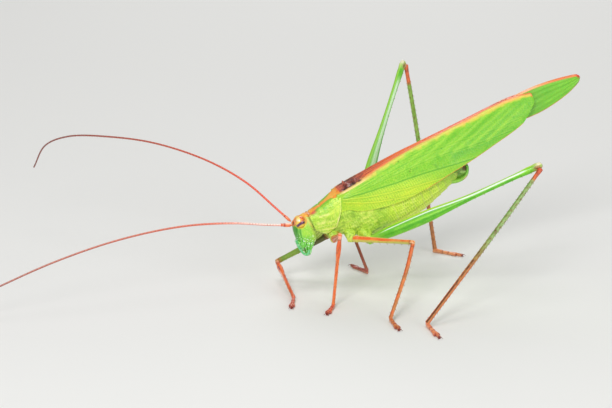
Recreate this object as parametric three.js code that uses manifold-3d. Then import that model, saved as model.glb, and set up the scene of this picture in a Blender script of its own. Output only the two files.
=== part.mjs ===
// A bush-cricket (long-horned grasshopper), male, life size, standing on the floor with its body tilted head down.
// Millimetres. +Z is up, the animal looks along -X, its left side is -Y. The solids stand on z = 0.
// Every sub-part is one closed solid. Neighbours are cut by one another and keep a hairline gap.
import * as THREE from 'three';
import { mergeVertices } from 'three/addons/utils/BufferGeometryUtils.js';
import Module from 'manifold-3d';

const wasm = await Module();
wasm.setup();

// ---------- driving dimensions ----------
const BODY_PITCH = 23.7;          // degrees, tail up
const RIDGE_HEIGHT = 11.17;       // height of the back where pronotum and wings meet
const CENTRE = [-10.155, 3.875];    // middle of the model's box, which becomes x = y = 0
const GAP = 0.03;                 // clearance between neighbouring solids
const FOIL = 0.5;                 // thickness of a wing
const FEELER = 0.5;               // thickness of an antenna

const HEAD_PIVOT = [-3.2, 0, 7.6];
const HEAD_TURN = -9;             // degrees, to the animal's right
const HEAD_TILT = -14;            // degrees, left cheek up
const EYE = { x: -1.16, y: 0.98, z: 0.15, rx: 0.57, ry: 0.5, rz: 0.66 };

const PRONOTUM = { front: -4.35, rear: 0.0, halfFront: 1.12, halfRear: 1.62, topFront: -0.8, topRear: 0.12 };
const TEGMEN_LENGTH = 24.4;
const HINDWING_LENGTH = 30.4;

// Each leg: base (where the femur starts), knee, ankle and the tip of the tarsus, measured from a point
// on the floor below the ridge origin.
const LEGS = {
  fore_left: { base: [-0.69, -1.10, 5.81], knee: [-1.62, -6.92, 8.10], ankle: [-2.47, -7.40, 0.5], toe: [-3.85, -9.7], bow: 0 },
  mid_left: { base: [1.09, -1.50, 5.86], knee: [6.65, -7.20, 6.66], ankle: [2.31, -13.32, 0.5], toe: [2.35, -16.45], bow: 0.2 },
  hind_left: { base: [3.2, -2.05, 5.66], knee: [20.60, -9.12, 14.66], ankle: [5.65, -15.87, 0.5], toe: [5.75, -19.85], bow: 0.12, arch: -0.2, up: [-0.31, 0.36, 0.88] },
  fore_right: { base: [-0.75, 1.10, 5.62], knee: [-6.22, 2.92, 2.32], ankle: [-6.14, -4.15, 0.5], toe: [-7.05, -6.7], bow: 0 },
  mid_right: { base: [1.09, 1.50, 5.86], knee: [2.60, 9.10, 7.62], ankle: [4.34, 2.95, 0.5], toe: [3.3, 5.9], bow: 0.1 },
  hind_right: { base: [2.64, 2.24, 6.0], knee: [11.66, 12.48, 21.88], ankle: [14.24, 8.35, 0.5], toe: [16.95, 5.95], bow: 0.12, arch: 0.22 },
};
// Half thickness [along the leg, across the leg's plane, in the leg's plane].
const FEMUR = {
  fore: [[0, 0.33, 0.36], [0.1, 0.36, 0.40], [0.5, 0.32, 0.36], [0.85, 0.28, 0.30], [0.95, 0.29, 0.32], [1, 0.27, 0.3]],
  mid: [[0, 0.33, 0.36], [0.1, 0.36, 0.41], [0.5, 0.31, 0.35], [0.85, 0.28, 0.30], [0.95, 0.29, 0.33], [1, 0.27, 0.3]],
  hind: [[0, 0.38, 0.4], [0.06, 0.45, 0.55], [0.15, 0.5, 0.67], [0.26, 0.5, 0.715], [0.35, 0.47, 0.7], [0.42, 0.42, 0.62], [0.5, 0.36, 0.49], [0.6, 0.31, 0.38], [0.72, 0.27, 0.33], [0.85, 0.28, 0.34], [0.93, 0.32, 0.43], [0.98, 0.33, 0.48], [1, 0.3, 0.42]],
};
const TIBIA = {
  fore: [[0, 0.27, 0.27], [0.07, 0.27, 0.28], [0.16, 0.3, 0.34], [0.26, 0.28, 0.31], [0.36, 0.27, 0.27], [1, 0.27, 0.27]],
  mid: [[0, 0.27, 0.27], [1, 0.27, 0.27]],
  hind: [[0, 0.28, 0.3], [0.06, 0.27, 0.28], [1, 0.27, 0.27]],
};
const KNEE_RISE = { fore: 0.05, mid: 0.06, hind: 0.5 };   // how far the femur's end stands above the knee's pivot
// Antennae: points the feeler passes, from the socket out.
const ANTENNAE = {
  left: [[-5.3, -0.42, 7.62], [-8.0, -0.6, 7.92], [-12.2, -0.8, 8.5], [-18.0, -1.1, 8.68], [-25.0, -1.5, 7.85], [-32.0, -1.85, 6.1], [-38.2, -2.2, 3.93], [-44.0, -2.8, 1.75], [-48.6, -3.6, 0.75]],
  right: [[-5.2, 0.5, 7.72], [-6.7, 1.75, 9.1], [-9.4, 4.2, 11.5], [-13.0, 7.6, 13.35], [-17.9, 12.6, 14.4], [-22.4, 17.6, 14.2], [-26.6, 22.6, 13.2], [-28.9, 25.6, 11.4], [-30.0, 27.4, 8.4]],
};
const ANTENNA_SPLITS = [0, 0.22, 0.48, 0.74, 1];   // share of the flagellum in each length

const COLOUR = {
  green: 0x8fd02e, lime: 0xa9dd2f, orange: 0xe8742c, redBrown: 0x8a3a20, eye: 0xd9c86a, mint: 0x6fd08a, pale: 0xd7c9a0,
};

// ---------- helpers ----------
const rad = THREE.MathUtils.degToRad;
const V = (x, y, z) => new THREE.Vector3(x, y, z);
const from = (a) => V(a[0], a[1], a[2]);
const lerp = THREE.MathUtils.lerp;

// Smooth reading of a table [[t, a, b, ...], ...].
function sample(table, t) {
  let i = 0;
  while (i < table.length - 2 && t > table[i + 1][0]) i++;
  const p = table[i], q = table[i + 1];
  let s = THREE.MathUtils.clamp((t - p[0]) / (q[0] - p[0]), 0, 1);
  s = s * s * (3 - 2 * s) * 0.5 + s * 0.5;
  return p.map((value, k) => lerp(value, q[k], s));
}

function ring(centre, side, up, a, b, count, power = 2, phase = 0.5) {
  const points = [];
  for (let k = 0; k < count; k++) {
    const w = ((k + phase) / count) * Math.PI * 2, c = Math.cos(w), s = Math.sin(w);
    const x = Math.sign(c) * Math.pow(Math.abs(c), 2 / power) * a, y = Math.sign(s) * Math.pow(Math.abs(s), 2 / power) * b;
    points.push(centre.clone().addScaledVector(side, x).addScaledVector(up, y));
  }
  return points;
}

function closed(positions, index) {
  let volume = 0;
  const a = V(), b = V(), c = V();
  for (let i = 0; i < index.length; i += 3) {
    a.fromArray(positions, index[i] * 3); b.fromArray(positions, index[i + 1] * 3); c.fromArray(positions, index[i + 2] * 3);
    volume += a.dot(b.cross(c)) / 6;
  }
  if (volume < 0) for (let i = 0; i < index.length; i += 3) [index[i], index[i + 1]] = [index[i + 1], index[i]];
  const g = new THREE.BufferGeometry();
  g.setAttribute('position', new THREE.Float32BufferAttribute(positions, 3));
  g.setIndex(index);
  return g;
}

// A skin over rings of equal count, closed by a fan at each end.
function loft(rings) {
  const n = rings[0].length, positions = [], index = [];
  for (const r of rings) for (const p of r) positions.push(p.x, p.y, p.z);
  for (let i = 0; i < rings.length - 1; i++) {
    for (let j = 0; j < n; j++) {
      const a = i * n + j, b = i * n + ((j + 1) % n);
      index.push(a, b, b + n, a, b + n, a + n);
    }
  }
  for (const [i, flip] of [[0, true], [rings.length - 1, false]]) {
    const middle = V(0, 0, 0);
    for (const p of rings[i]) middle.addScaledVector(p, 1 / n);
    const m = positions.length / 3;
    positions.push(middle.x, middle.y, middle.z);
    for (let j = 0; j < n; j++) {
      const a = i * n + j, b = i * n + ((j + 1) % n);
      index.push(...(flip ? [m, b, a] : [m, a, b]));
    }
  }
  return closed(positions, index);
}

// A limb along a smooth path: table rows are [share of length, half width across, half height].
function limb(path, table, across, steps, count, { roundStart = 0, roundEnd = 0, power = 2 } = {}) {
  const curve = path.length === 2 ? new THREE.LineCurve3(path[0], path[1]) : new THREE.CatmullRomCurve3(path, false, 'centripetal');
  const length = curve.getLength(), rings = [];
  const place = (t, extra, scale) => {
    const [, a, b] = sample(table, t);
    const tangent = curve.getTangentAt(t).normalize();
    const centre = curve.getPointAt(t).addScaledVector(tangent, extra);
    const side = across.clone().addScaledVector(tangent, -across.dot(tangent)).normalize();
    const up = V().crossVectors(tangent, side).normalize();
    rings.push(ring(centre, side, up, a * scale, b * scale, count, power));
  };
  if (roundStart) { place(0, -roundStart, 0.45); place(0, -roundStart * 0.62, 0.82); }
  for (let i = 0; i <= steps; i++) place(i / steps, 0, 1);
  if (roundEnd) { place(1, roundEnd * 0.62, 0.82); place(1, roundEnd, 0.45); }
  return loft(rings);
}

// A curved plate of even thickness: at(u, v) gives the middle surface and its normal.
function plate(at, nu, nv, thickness) {
  const positions = [], index = [], row = nv + 1, face = (nu + 1) * row;
  for (const half of [1, -1]) {
    for (let i = 0; i <= nu; i++) for (let j = 0; j <= nv; j++) {
      const { p, n } = at(i / nu, j / nv);
      p.addScaledVector(n, (half * thickness) / 2);
      positions.push(p.x, p.y, p.z);
    }
  }
  for (let i = 0; i < nu; i++) for (let j = 0; j < nv; j++) {
    const a = i * row + j, b = a + 1, c = a + row, d = c + 1;
    index.push(a, b, d, a, d, c, face + a, face + d, face + b, face + a, face + c, face + d);
  }
  const edge = [];
  for (let j = 0; j < nv; j++) edge.push([j + 1, j]);
  for (let i = 0; i < nu; i++) edge.push([i * row, (i + 1) * row]);
  for (let j = 0; j < nv; j++) edge.push([nu * row + j, nu * row + j + 1]);
  for (let i = nu; i > 0; i--) edge.push([i * row + nv, (i - 1) * row + nv]);
  for (const [a, b] of edge) index.push(a, b, face + b, a, face + b, face + a);
  return closed(positions, index);
}

const root = new THREE.Group();
const stance = new THREE.Group();
stance.position.set(-CENTRE[0], -CENTRE[1], 0);
root.add(stance);
const bodyGroup = new THREE.Group();
bodyGroup.position.set(0, 0, RIDGE_HEIGHT);
bodyGroup.rotation.y = -rad(BODY_PITCH);
stance.add(bodyGroup);
const headGroup = new THREE.Group();
headGroup.position.set(...HEAD_PIVOT);
headGroup.rotation.set(rad(HEAD_TILT), 0, rad(HEAD_TURN), 'ZYX');
stance.add(headGroup);

function add(group, name, geometry, colour, roughness = 0.45) {
  const mesh = new THREE.Mesh(geometry, new THREE.MeshStandardMaterial({ color: colour, roughness, metalness: 0 }));
  mesh.name = name;
  group.add(mesh);
  return mesh;
}

function toSolid(geometry) {
  const g = geometry.clone();
  for (const key of Object.keys(g.attributes)) if (key !== 'position') g.deleteAttribute(key);
  const merged = mergeVertices(g, 1e-5);
  return new wasm.Manifold(new wasm.Mesh({ numProp: 3, vertProperties: new Float32Array(merged.attributes.position.array), triVerts: new Uint32Array(merged.index.array) }));
}

function toGeometry(solid) {
  const parts = solid.decompose();
  let best = parts[0];
  for (const p of parts) if (p.volume() > best.volume()) best = p;
  const mesh = best.getMesh();
  const positions = [];
  for (let i = 0; i < mesh.numVert; i++) positions.push(mesh.vertProperties[i * mesh.numProp], mesh.vertProperties[i * mesh.numProp + 1], mesh.vertProperties[i * mesh.numProp + 2]);
  const g = new THREE.BufferGeometry();
  g.setAttribute('position', new THREE.Float32BufferAttribute(positions, 3));
  g.setIndex(Array.from(mesh.triVerts));
  return g;
}

// Cuts a mesh by its neighbours, each moved a hair's breadth outwards along `away` (stance directions).
function trim(mesh, cutters, away = V(0, 0, 0), grow = 1) {
  root.updateMatrixWorld(true);
  const inverse = mesh.matrixWorld.clone().invert();
  let solid = toSolid(mesh.geometry);
  for (const cutter of cutters) {
    const g = cutter.geometry.clone();
    if (grow !== 1) {
      g.computeBoundingBox();
      const c = g.boundingBox.getCenter(V());
      g.translate(-c.x, -c.y, -c.z).scale(grow, grow, grow).translate(c.x, c.y, c.z);
    }
    const m = new THREE.Matrix4().makeTranslation(away.x * GAP, away.y * GAP, away.z * GAP);
    solid = solid.subtract(toSolid(g.applyMatrix4(cutter.matrixWorld).applyMatrix4(m).applyMatrix4(inverse)));
  }
  mesh.geometry = toGeometry(solid);
  return mesh;
}

// Direction of a body axis in the stance frame.
const bodyAxis = (x, y, z) => V(x, y, z).applyAxisAngle(V(0, 1, 0), -rad(BODY_PITCH));

// ---------- trunk, in body axes: x tailward along the back, z up from the ridge ----------
// Height of the lower rim of the pronotum's side lobe and slant of its hind rim.
const hindRim = (z) => (z > -1.7 ? 0.0 + 0.4 * Math.min(0, z - 0.05) : -0.7 + 0.76 * (z + 1.7));

function pronotumShape() {
  const count = 20, steps = 7, rings = [];
  for (let i = 0; i <= steps; i++) {
    const u = i / steps, x = lerp(PRONOTUM.front, PRONOTUM.rear, u);
    const half = lerp(PRONOTUM.halfFront, PRONOTUM.halfRear, Math.pow(u, 0.9));
    const top = lerp(PRONOTUM.topFront, PRONOTUM.topRear, Math.pow(u, 1.45));
    const bottom = lerp(-2.9, -3.75, Math.sin(Math.min(1, u * 1.5) * Math.PI * 0.5));
    const mid = (top + bottom) / 2, h = (top - bottom) / 2;
    const r = [];
    for (let k = 0; k < count; k++) {
      const w = ((k + 0.5) / count) * Math.PI * 2, c = Math.cos(w), s = Math.sin(w);
      const y = Math.sign(c) * Math.pow(Math.abs(c), 0.55) * half * (1 - 0.13 * Math.max(0, s));
      const z = mid + Math.sign(s) * Math.pow(Math.abs(s), 0.62) * h;
      const rear = hindRim(z);
      const front = PRONOTUM.front + 0.12 + 0.1 * Math.max(0, -2.2 - z);
      r.push(V(lerp(front, rear, u), y, z));
    }
    rings.push(r);
  }
  return loft(rings);
}

function thoraxShape() {
  const rows = [
    // x, top, bottom, half width
    [-3.9, -2.0, -3.72, 0.75], [-3.2, -1.2, -3.98, 1.05], [-2.2, -0.8, -4.5, 1.2], [-1.0, -0.75, -5.2, 1.42],
    [0.4, -0.7, -6.1, 1.62], [1.8, -0.65, -6.6, 1.68], [3.0, -0.6, -6.9, 1.66], [3.9, -0.7, -7.0, 1.6],
  ];
  return loft(rows.map(([x, top, bottom, half]) => ring(V(x, 0, (top + bottom) / 2), V(0, 1, 0), V(0, 0, 1), half, (top - bottom) / 2, 16, 2.5)));
}

function abdomenShape() {
  const rows = [
    [3.4, -1.4, -6.85, 1.34], [4.6, -1.45, -7.0, 1.54], [6.2, -1.6, -6.95, 1.56], [7.8, -1.95, -6.65, 1.5],
    [9.4, -2.35, -6.22, 1.38], [10.8, -2.8, -5.9, 1.24], [11.9, -3.1, -5.6, 1.06], [12.6, -3.35, -5.35, 0.9], [12.95, -3.6, -5.1, 0.7],
  ];
  return loft(rows.map(([x, top, bottom, half]) => ring(V(x, 0, (top + bottom) / 2), V(0, 1, 0), V(0, 0, 1), half, (top - bottom) / 2, 16, 2.1)));
}

// The up-curved plate under the tail end.
function tailPlateShape() {
  return limb([V(11.9, 0, -4.95), V(12.9, 0, -5.38), V(13.9, 0, -5.36), V(14.42, 0, -4.72), V(14.42, 0, -3.9)],
    [[0, 0.75, 0.5], [0.3, 0.7, 0.42], [0.6, 0.5, 0.33], [0.85, 0.34, 0.27], [1, 0.26, 0.25]], V(0, 1, 0), 7, 8, { roundEnd: 0.15 });
}

function cercusShape(side) {
  return limb([V(12.5, side * 0.55, -4.0), V(13.3, side * 0.8, -4.2), V(13.95, side * 0.62, -4.0), V(14.25, side * 0.2, -3.6)],
    [[0, 0.28, 0.28], [0.6, 0.26, 0.26], [1, 0.25, 0.25]], V(0, 0, 1), 5, 6, { roundEnd: 0.12 });
}

// Tegmen profile tables along x: ridge height, inner edge, shoulder, lower edge height and its half width.
const TEGMEN = [
  //  x    ridge  inner shoulder lower  flare
  [0.0, 0.08, 0.29, 1.2, -1.85, 1.62],
  [1.2, 0.14, 0.29, 1.25, -2.58, 1.84],
  [2.8, 0.24, 0.29, 1.18, -3.08, 1.98],
  [4.5, 0.38, 0.29, 1.06, -3.46, 2.08],
  [6.5, 0.5, 0.29, 0.94, -3.7, 2.1],
  [8.8, 0.56, 0.29, 0.78, -3.7, 2.02],
  [12.0, 0.54, 0.3, 0.62, -3.46, 1.76],
  [15.0, 0.5, 0.34, 0.56, -3.28, 1.5],
  [18.0, 0.49, 0.42, 0.6, -2.96, 1.25],
  [20.8, 0.46, 0.55, 0.68, -2.64, 1.05],
  [22.4, 0.36, 0.66, 0.74, -2.3, 0.95],
  [24.4, -0.1, 0.78, 0.8, -1.6, 0.85],
];
function tegmenAt(x, v, side) {
  const [, ridge, inner, shoulder, lower, flare] = sample(TEGMEN, x);
  const flat = 0.16, y0 = inner, y1 = shoulder;
  let y, z;
  if (v < flat) {
    const q = v / flat;
    y = lerp(y0, y1, q); z = ridge - 0.05 * q * q;
  } else {
    const q = (v - flat) / (1 - flat);
    y = lerp(y1, flare, Math.pow(Math.sin((q * Math.PI) / 2), 0.85)); z = lerp(ridge - 0.05, lower, Math.pow(q, 1.04));
  }
  return V(x, side * y, z - FOIL / 2);
}
function tegmenShape(side) {
  const at = (u, v) => {
    // the apex is a rounded end that leans to the lower side; the base follows the pronotum's rim
    const tip = TEGMEN_LENGTH - 2.6 * Math.pow(Math.abs(v - 0.3) / 0.7, 2.4);
    const base = 0.26 - 0.8 * Math.max(0, v - 0.35);
    const x = lerp(base, tip, Math.pow(u, 1.06));
    const p = tegmenAt(x, v, side);
    const e = 0.04;
    const dv = tegmenAt(x, Math.min(1, v + e), side).sub(tegmenAt(x, Math.max(0, v - e), side));
    const n = V(0, -dv.z * side, dv.y * side).normalize();
    if (n.z < -0.2) n.negate();
    if (n.y * side < -0.01) n.negate();
    return { p, n };
  };
  return plate(at, 12, 6, FOIL);
}

// Hind wings: two upright blades folded between the tegmina, out beyond them at the tip.
const HINDWING = [
  [5.0, -0.75, -1.25], [9.0, -0.5, -1.7], [14.0, -0.35, -2.0], [20.0, -0.3, -2.4], [23.5, -0.08, -2.62], [25.0, -0.06, -2.66],
  [27.0, -0.16, -2.48], [28.8, -0.42, -2.1], [30.0, -0.78, -1.56], [30.4, -0.98, -1.3],
];
function hindwingShape(side) {
  const rings = [], steps = 12;
  for (let i = 0; i <= steps; i++) {
    const x = lerp(5.0, HINDWING_LENGTH, i / steps), [, top, bottom] = sample(HINDWING, x);
    rings.push(ring(V(x, side * (0.02 + FOIL / 2), (top + bottom) / 2), V(0, 1, 0), V(0, 0, 1), FOIL / 2, (top - bottom) / 2, 8, 3.2));
  }
  return loft(rings);
}

const pronotum = add(bodyGroup, 'pronotum', pronotumShape(), COLOUR.lime);
const thorax = add(bodyGroup, 'thorax', thoraxShape(), COLOUR.green);
const abdomen = add(bodyGroup, 'abdomen', abdomenShape(), COLOUR.green);
const tail = add(bodyGroup, 'tail_plate', tailPlateShape(), COLOUR.green);
trim(thorax, [pronotum], bodyAxis(0.7, 0, -0.7));
trim(abdomen, [thorax], bodyAxis(1, 0, 0));
trim(tail, [abdomen], bodyAxis(1, 0, 0));
for (const [name, side] of [['left', -1], ['right', 1]]) {
  const cercus = add(bodyGroup, `cercus_${name}`, cercusShape(side), COLOUR.green);
  trim(cercus, [abdomen, tail], bodyAxis(1, 0, 0));
  const tegmen = add(bodyGroup, `tegmen_${name}`, tegmenShape(side), COLOUR.lime);
  trim(tegmen, [pronotum, thorax, abdomen], bodyAxis(0.7, side * 0.7, 0));
  const hindwing = add(bodyGroup, `hindwing_${name}`, hindwingShape(side), COLOUR.green);
  trim(hindwing, [tegmen, thorax, abdomen], bodyAxis(0, 0, 1));
}

// ---------- head, in its own axes: x back, z up, origin at the neck ----------
function headShape() {
  const rows = [
    // z, front, back, half width, squareness
    [1.12, -0.66, 0.5, 0.4, 2.0], [0.97, -0.98, 0.6, 0.7, 2.0], [0.7, -1.36, 0.66, 0.88, 2.1], [0.35, -1.72, 0.68, 0.98, 2.3],
    [0.0, -1.94, 0.62, 1.04, 2.4], [-0.6, -1.92, 0.48, 1.12, 2.4], [-1.2, -1.78, 0.66, 1.14, 2.4], [-1.65, -1.6, 0.68, 1.06, 2.4],
    [-2.1, -1.46, 0.58, 0.96, 2.3],
  ];
  return loft(rows.map(([z, front, back, half, power]) => ring(V((front + back) / 2, 0, z), V(0, 1, 0), V(1, 0, 0), half, (back - front) / 2, 18, power)));
}
function mouthShape() {
  const rows = [
    [-2.0, -1.4, 0.56, 0.9, 2.2], [-2.45, -1.14, 0.4, 0.84, 2.2], [-2.9, -0.86, 0.18, 0.72, 2.1], [-3.25, -0.62, 0.0, 0.56, 2.1], [-3.46, -0.48, -0.16, 0.36, 2],
  ];
  return loft(rows.map(([z, front, back, half, power]) => ring(V((front + back) / 2, 0, z), V(0, 1, 0), V(1, 0, 0), half, (back - front) / 2, 14, power)));
}
function palpShape(side) {
  return limb([V(-0.2, side * 0.7, -3.1), V(-0.34, side * 0.76, -3.5), V(-0.7, side * 0.72, -3.54), V(-1.04, side * 0.6, -3.06), V(-1.38, side * 0.46, -2.42), V(-1.52, side * 0.34, -1.92)],
    [[0, 0.26, 0.26], [1, 0.26, 0.26]], V(0, 1, 0), 8, 6, { roundEnd: 0.12 });
}
function eyeShape(side) {
  const g = new THREE.SphereGeometry(1, 12, 8);
  g.scale(EYE.rx, EYE.ry, EYE.rz);
  g.rotateY(rad(8));
  g.translate(EYE.x, side * EYE.y, EYE.z);
  return mergeVertices(new THREE.BufferGeometry().setAttribute('position', g.attributes.position).setIndex(g.index));
}
const head = add(headGroup, 'head', headShape(), COLOUR.green);
trim(head, [pronotum, thorax], bodyAxis(-1, 0, 0));
const mouth = add(headGroup, 'mouthparts', mouthShape(), COLOUR.pale);
trim(mouth, [head], V(0, 0, -1));
for (const [name, side] of [['left', -1], ['right', 1]]) {
  const eye = add(headGroup, `eye_${name}`, eyeShape(side), COLOUR.eye, 0.25);
  trim(head, [eye], V(0, 0, 0), 1.04);
  const palp = add(headGroup, `palp_${name}`, palpShape(side), COLOUR.mint);
  trim(palp, [mouth, head], V(0, side, 0));
  // antenna: socket piece, then the flagellum in lengths
  const points = ANTENNAE[name].map(from);
  const whole = new THREE.CatmullRomCurve3(points, false, 'centripetal');
  const inside = points[0].clone().add(points[0].clone().sub(points[1]).setLength(0.5));
  const scape = add(stance, `antenna_${name}_base`, limb([inside, whole.getPointAt(0), whole.getPointAt(0.018)], [[0, 0.27, 0.27], [0.8, 0.3, 0.3], [1, 0.27, 0.27]], V(0, 0, 1), 5, 8), COLOUR.orange);
  trim(scape, [head, eye], from(ANTENNAE[name][0]).sub(from(HEAD_PIVOT)).normalize());
  const start = 0.018, total = whole.getLength();
  for (let i = 0; i < ANTENNA_SPLITS.length - 1; i++) {
    const a = start + (1 - start) * ANTENNA_SPLITS[i] + GAP / total, b = start + (1 - start) * ANTENNA_SPLITS[i + 1];
    const steps = 7, path = [];
    for (let k = 0; k <= steps; k++) path.push(whole.getPointAt(lerp(a, b, k / steps)));
    add(stance, `antenna_${name}_${i + 1}`, limb(path, [[0, FEELER / 2, FEELER / 2], [1, FEELER / 2, FEELER / 2]], V(0.2, 0.3, 1), steps, 6), i < 2 ? COLOUR.orange : COLOUR.redBrown);
  }
}

// ---------- legs ----------
// The foot lies flat on the floor: its two lowest rows of points are level.
function tarsusShape(ankle, toe, scale) {
  const along = V(toe.x - ankle.x, toe.y - ankle.y, 0), length = along.length();
  along.normalize();
  const side = V(-along.y, along.x, 0);
  const table = [[-0.06, 0.22, 0.48], [0, 0.27, 0.62], [0.12, 0.27, 0.54], [0.3, 0.31, 0.5], [0.54, 0.32, 0.5], [0.72, 0.4, 0.5], [0.8, 0.28, 0.5], [1, 0.26, 0.44]];
  const count = 8, low = Math.sin(Math.PI * 1.5 - Math.PI / count) , rings = [];
  for (const [t, half, top] of table) {
    const c = ankle.clone().addScaledVector(along, t * length);
    const r = [];
    for (let k = 0; k < count; k++) {
      const w = ((k + 0.5) / count) * Math.PI * 2;
      const y = Math.cos(w) * half * scale, z = (Math.sin(w) - low) / (-2 * low) * top;
      r.push(V(c.x, c.y, 0).addScaledVector(side, y).add(V(0, 0, Math.abs(z) < 1e-6 ? 0 : z)));
    }
    rings.push(r);
  }
  return loft(rings);
}

const coxae = [];
for (const [name, leg] of Object.entries(LEGS)) {
  const hind = name.startsWith('hind'), side = name.endsWith('left') ? -1 : 1, big = hind ? 1.12 : 1;
  const base = from(leg.base), inner = base.clone().add(V(hind ? -0.5 : 0.1, -side, hind ? 0.75 : 0.95));
  const coxa = add(stance, `coxa_${name}`, limb([inner, base], [[0, 0.62 * big, 0.6 * big], [0.6, 0.6 * big, 0.58 * big], [1, 0.46 * big, 0.46 * big]], V(1, 0, 0), 3, 10, { roundEnd: 0.34 }), COLOUR.green);
  trim(coxa, [thorax, pronotum, abdomen], V(0, side * 0.7, -0.7));
  trim(coxa, coxae, V(0, side, 0));
  coxae.push(coxa);
}
for (const [name, leg] of Object.entries(LEGS)) {
  const kind = name.split('_')[0];
  const base = from(leg.base), knee = from(leg.knee), ankle = from(leg.ankle), toe = V(leg.toe[0], leg.toe[1], 0);
  const femurDir = knee.clone().sub(base).normalize(), tibiaDir = ankle.clone().sub(knee).normalize();
  const across = V().crossVectors(femurDir, tibiaDir).normalize();
  const dorsal = V().crossVectors(across, femurDir).normalize();
  if (dorsal.dot(tibiaDir) > 0) dorsal.negate();
  const end = knee.clone().addScaledVector(dorsal, KNEE_RISE[kind]);
  const thigh = leg.arch ? [base, base.clone().lerp(end, 0.45).addScaledVector(dorsal, leg.arch), end] : [base, end];
  // the thigh's tall axis: in the plane of the leg, or along `up` where the shin swings out of that plane
  const flat = leg.up ? V().crossVectors(femurDir, from(leg.up)).normalize() : across;
  const femur = add(stance, `femur_${name}`, limb(thigh, FEMUR[kind], flat, kind === 'hind' ? 11 : 5, 8, { roundEnd: 0.2 }), kind === 'hind' ? COLOUR.green : COLOUR.orange);
  trim(femur, [...coxae, thorax, abdomen], femurDir);
  const tarsus = add(stance, `tarsus_${name}`, tarsusShape(ankle, toe, kind === 'hind' ? 1.05 : 1), COLOUR.orange);
  const outward = V().crossVectors(tibiaDir, across).normalize();
  if (outward.dot(femurDir) < 0) outward.negate();
  const start = knee.clone().addScaledVector(tibiaDir, 0.1);
  const waist = start.clone().lerp(ankle, 0.35).addScaledVector(outward, leg.bow);
  const tibia = add(stance, `tibia_${name}`, limb(leg.bow ? [start, waist, ankle] : [start, ankle], TIBIA[kind], across, kind === 'fore' ? 7 : 6, 6), COLOUR.orange);
  trim(tibia, [femur, tarsus], tibiaDir);
}

root.updateMatrixWorld(true);
export default root;
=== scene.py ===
"""Looks of a long-horned grasshopper (a male leaf bush-cricket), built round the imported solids.

Shapes are worked out in millimetres in the stance frame (origin on the floor below the back of the pronotum, the animal
looking along -X, its left side towards -Y) and written in metres in the part's frame.
"""
import bpy
import math
import numpy as np
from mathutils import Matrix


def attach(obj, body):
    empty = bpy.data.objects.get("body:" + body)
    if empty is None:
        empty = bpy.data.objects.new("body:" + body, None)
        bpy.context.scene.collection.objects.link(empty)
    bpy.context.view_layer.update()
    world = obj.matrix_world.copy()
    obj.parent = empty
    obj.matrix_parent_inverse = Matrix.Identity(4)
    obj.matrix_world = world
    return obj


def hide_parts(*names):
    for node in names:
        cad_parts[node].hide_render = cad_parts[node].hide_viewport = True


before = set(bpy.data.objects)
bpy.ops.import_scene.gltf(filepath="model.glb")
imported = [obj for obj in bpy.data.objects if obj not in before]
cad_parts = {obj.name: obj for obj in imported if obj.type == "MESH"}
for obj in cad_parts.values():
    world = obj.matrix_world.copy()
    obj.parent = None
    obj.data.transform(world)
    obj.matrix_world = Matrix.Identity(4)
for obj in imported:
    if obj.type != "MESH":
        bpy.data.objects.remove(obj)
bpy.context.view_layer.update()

# ---------------------------------------------------------------- driving numbers, mm and degrees
CENTRE = (-10.155, 3.875)
BODY_PITCH = 23.7
RIDGE_HEIGHT = 11.17
HEAD_PIVOT = np.array([-3.2, 0.0, 7.6])
HEAD_TURN, HEAD_TILT = -9.0, -14.0
EYE = dict(x=-1.16, y=0.98, z=0.15, rx=0.57, ry=0.5, rz=0.66)
FOIL = 0.5            # thickness of a wing's solid, whose outer face the wing keeps
TEGMEN_LENGTH, HINDWING_LENGTH = 24.4, 30.4
DEG = math.pi / 180


# ---------------------------------------------------------------- small mathematics
def V(*a):
    return np.array(a, float)


def unit(a):
    a = np.asarray(a, float)
    return a / np.maximum(np.linalg.norm(a, axis=-1, keepdims=True), 1e-12)


def clamp(x, a=0.0, b=1.0):
    return np.minimum(np.maximum(x, a), b)


def step(a, b, x):
    """0 before a, 1 after b, smooth between; a may lie above b."""
    t = clamp((np.asarray(x, float) - a) / (b - a))
    return t * t * (3 - 2 * t)


def bell(x, centre, width):
    return np.exp(-((np.asarray(x, float) - centre) / width) ** 2)


def mix(a, b, m):
    m = np.asarray(m, float)[..., None]
    return a * (1 - m) + b * m


def rgb(r, g, b):
    return np.array([r, g, b], float) / 255.0


def table(rows, t):
    """Smooth curve through rows [t, a, b, ...], read at t: an array with one column per value."""
    rows = np.asarray(rows, float)
    t = np.asarray(t, float)
    x, y = rows[:, 0], rows[:, 1:]
    d = np.diff(y, axis=0) / np.diff(x)[:, None]
    m = np.zeros_like(y)
    m[0], m[-1] = d[0], d[-1]
    same = d[:-1] * d[1:] > 0
    m[1:-1] = np.where(same, 2 * d[:-1] * d[1:] / np.where(same, d[:-1] + d[1:], 1), 0)
    i = np.clip(np.searchsorted(x, t, side="right") - 1, 0, len(x) - 2)
    h = (x[i + 1] - x[i])
    s = clamp((t - x[i]) / h)[..., None]
    h = h[..., None]
    return ((2 * s**3 - 3 * s**2 + 1) * y[i] + (s**3 - 2 * s**2 + s) * h * m[i]
            + (-2 * s**3 + 3 * s**2) * y[i + 1] + (s**3 - s**2) * h * m[i + 1])


def _hash(ix, iy, iz, seed):
    n = (ix.astype(np.uint64) * np.uint64(374761393) + iy.astype(np.uint64) * np.uint64(668265263)
         + iz.astype(np.uint64) * np.uint64(2246822519) + np.uint64(seed) * np.uint64(3266489917))
    n ^= n >> np.uint64(15)
    n *= np.uint64(2654435761)
    n ^= n >> np.uint64(13)
    n *= np.uint64(1274126177)
    n ^= n >> np.uint64(16)
    return (n & np.uint64(0xFFFFFF)).astype(float) / float(0xFFFFFF)


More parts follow.
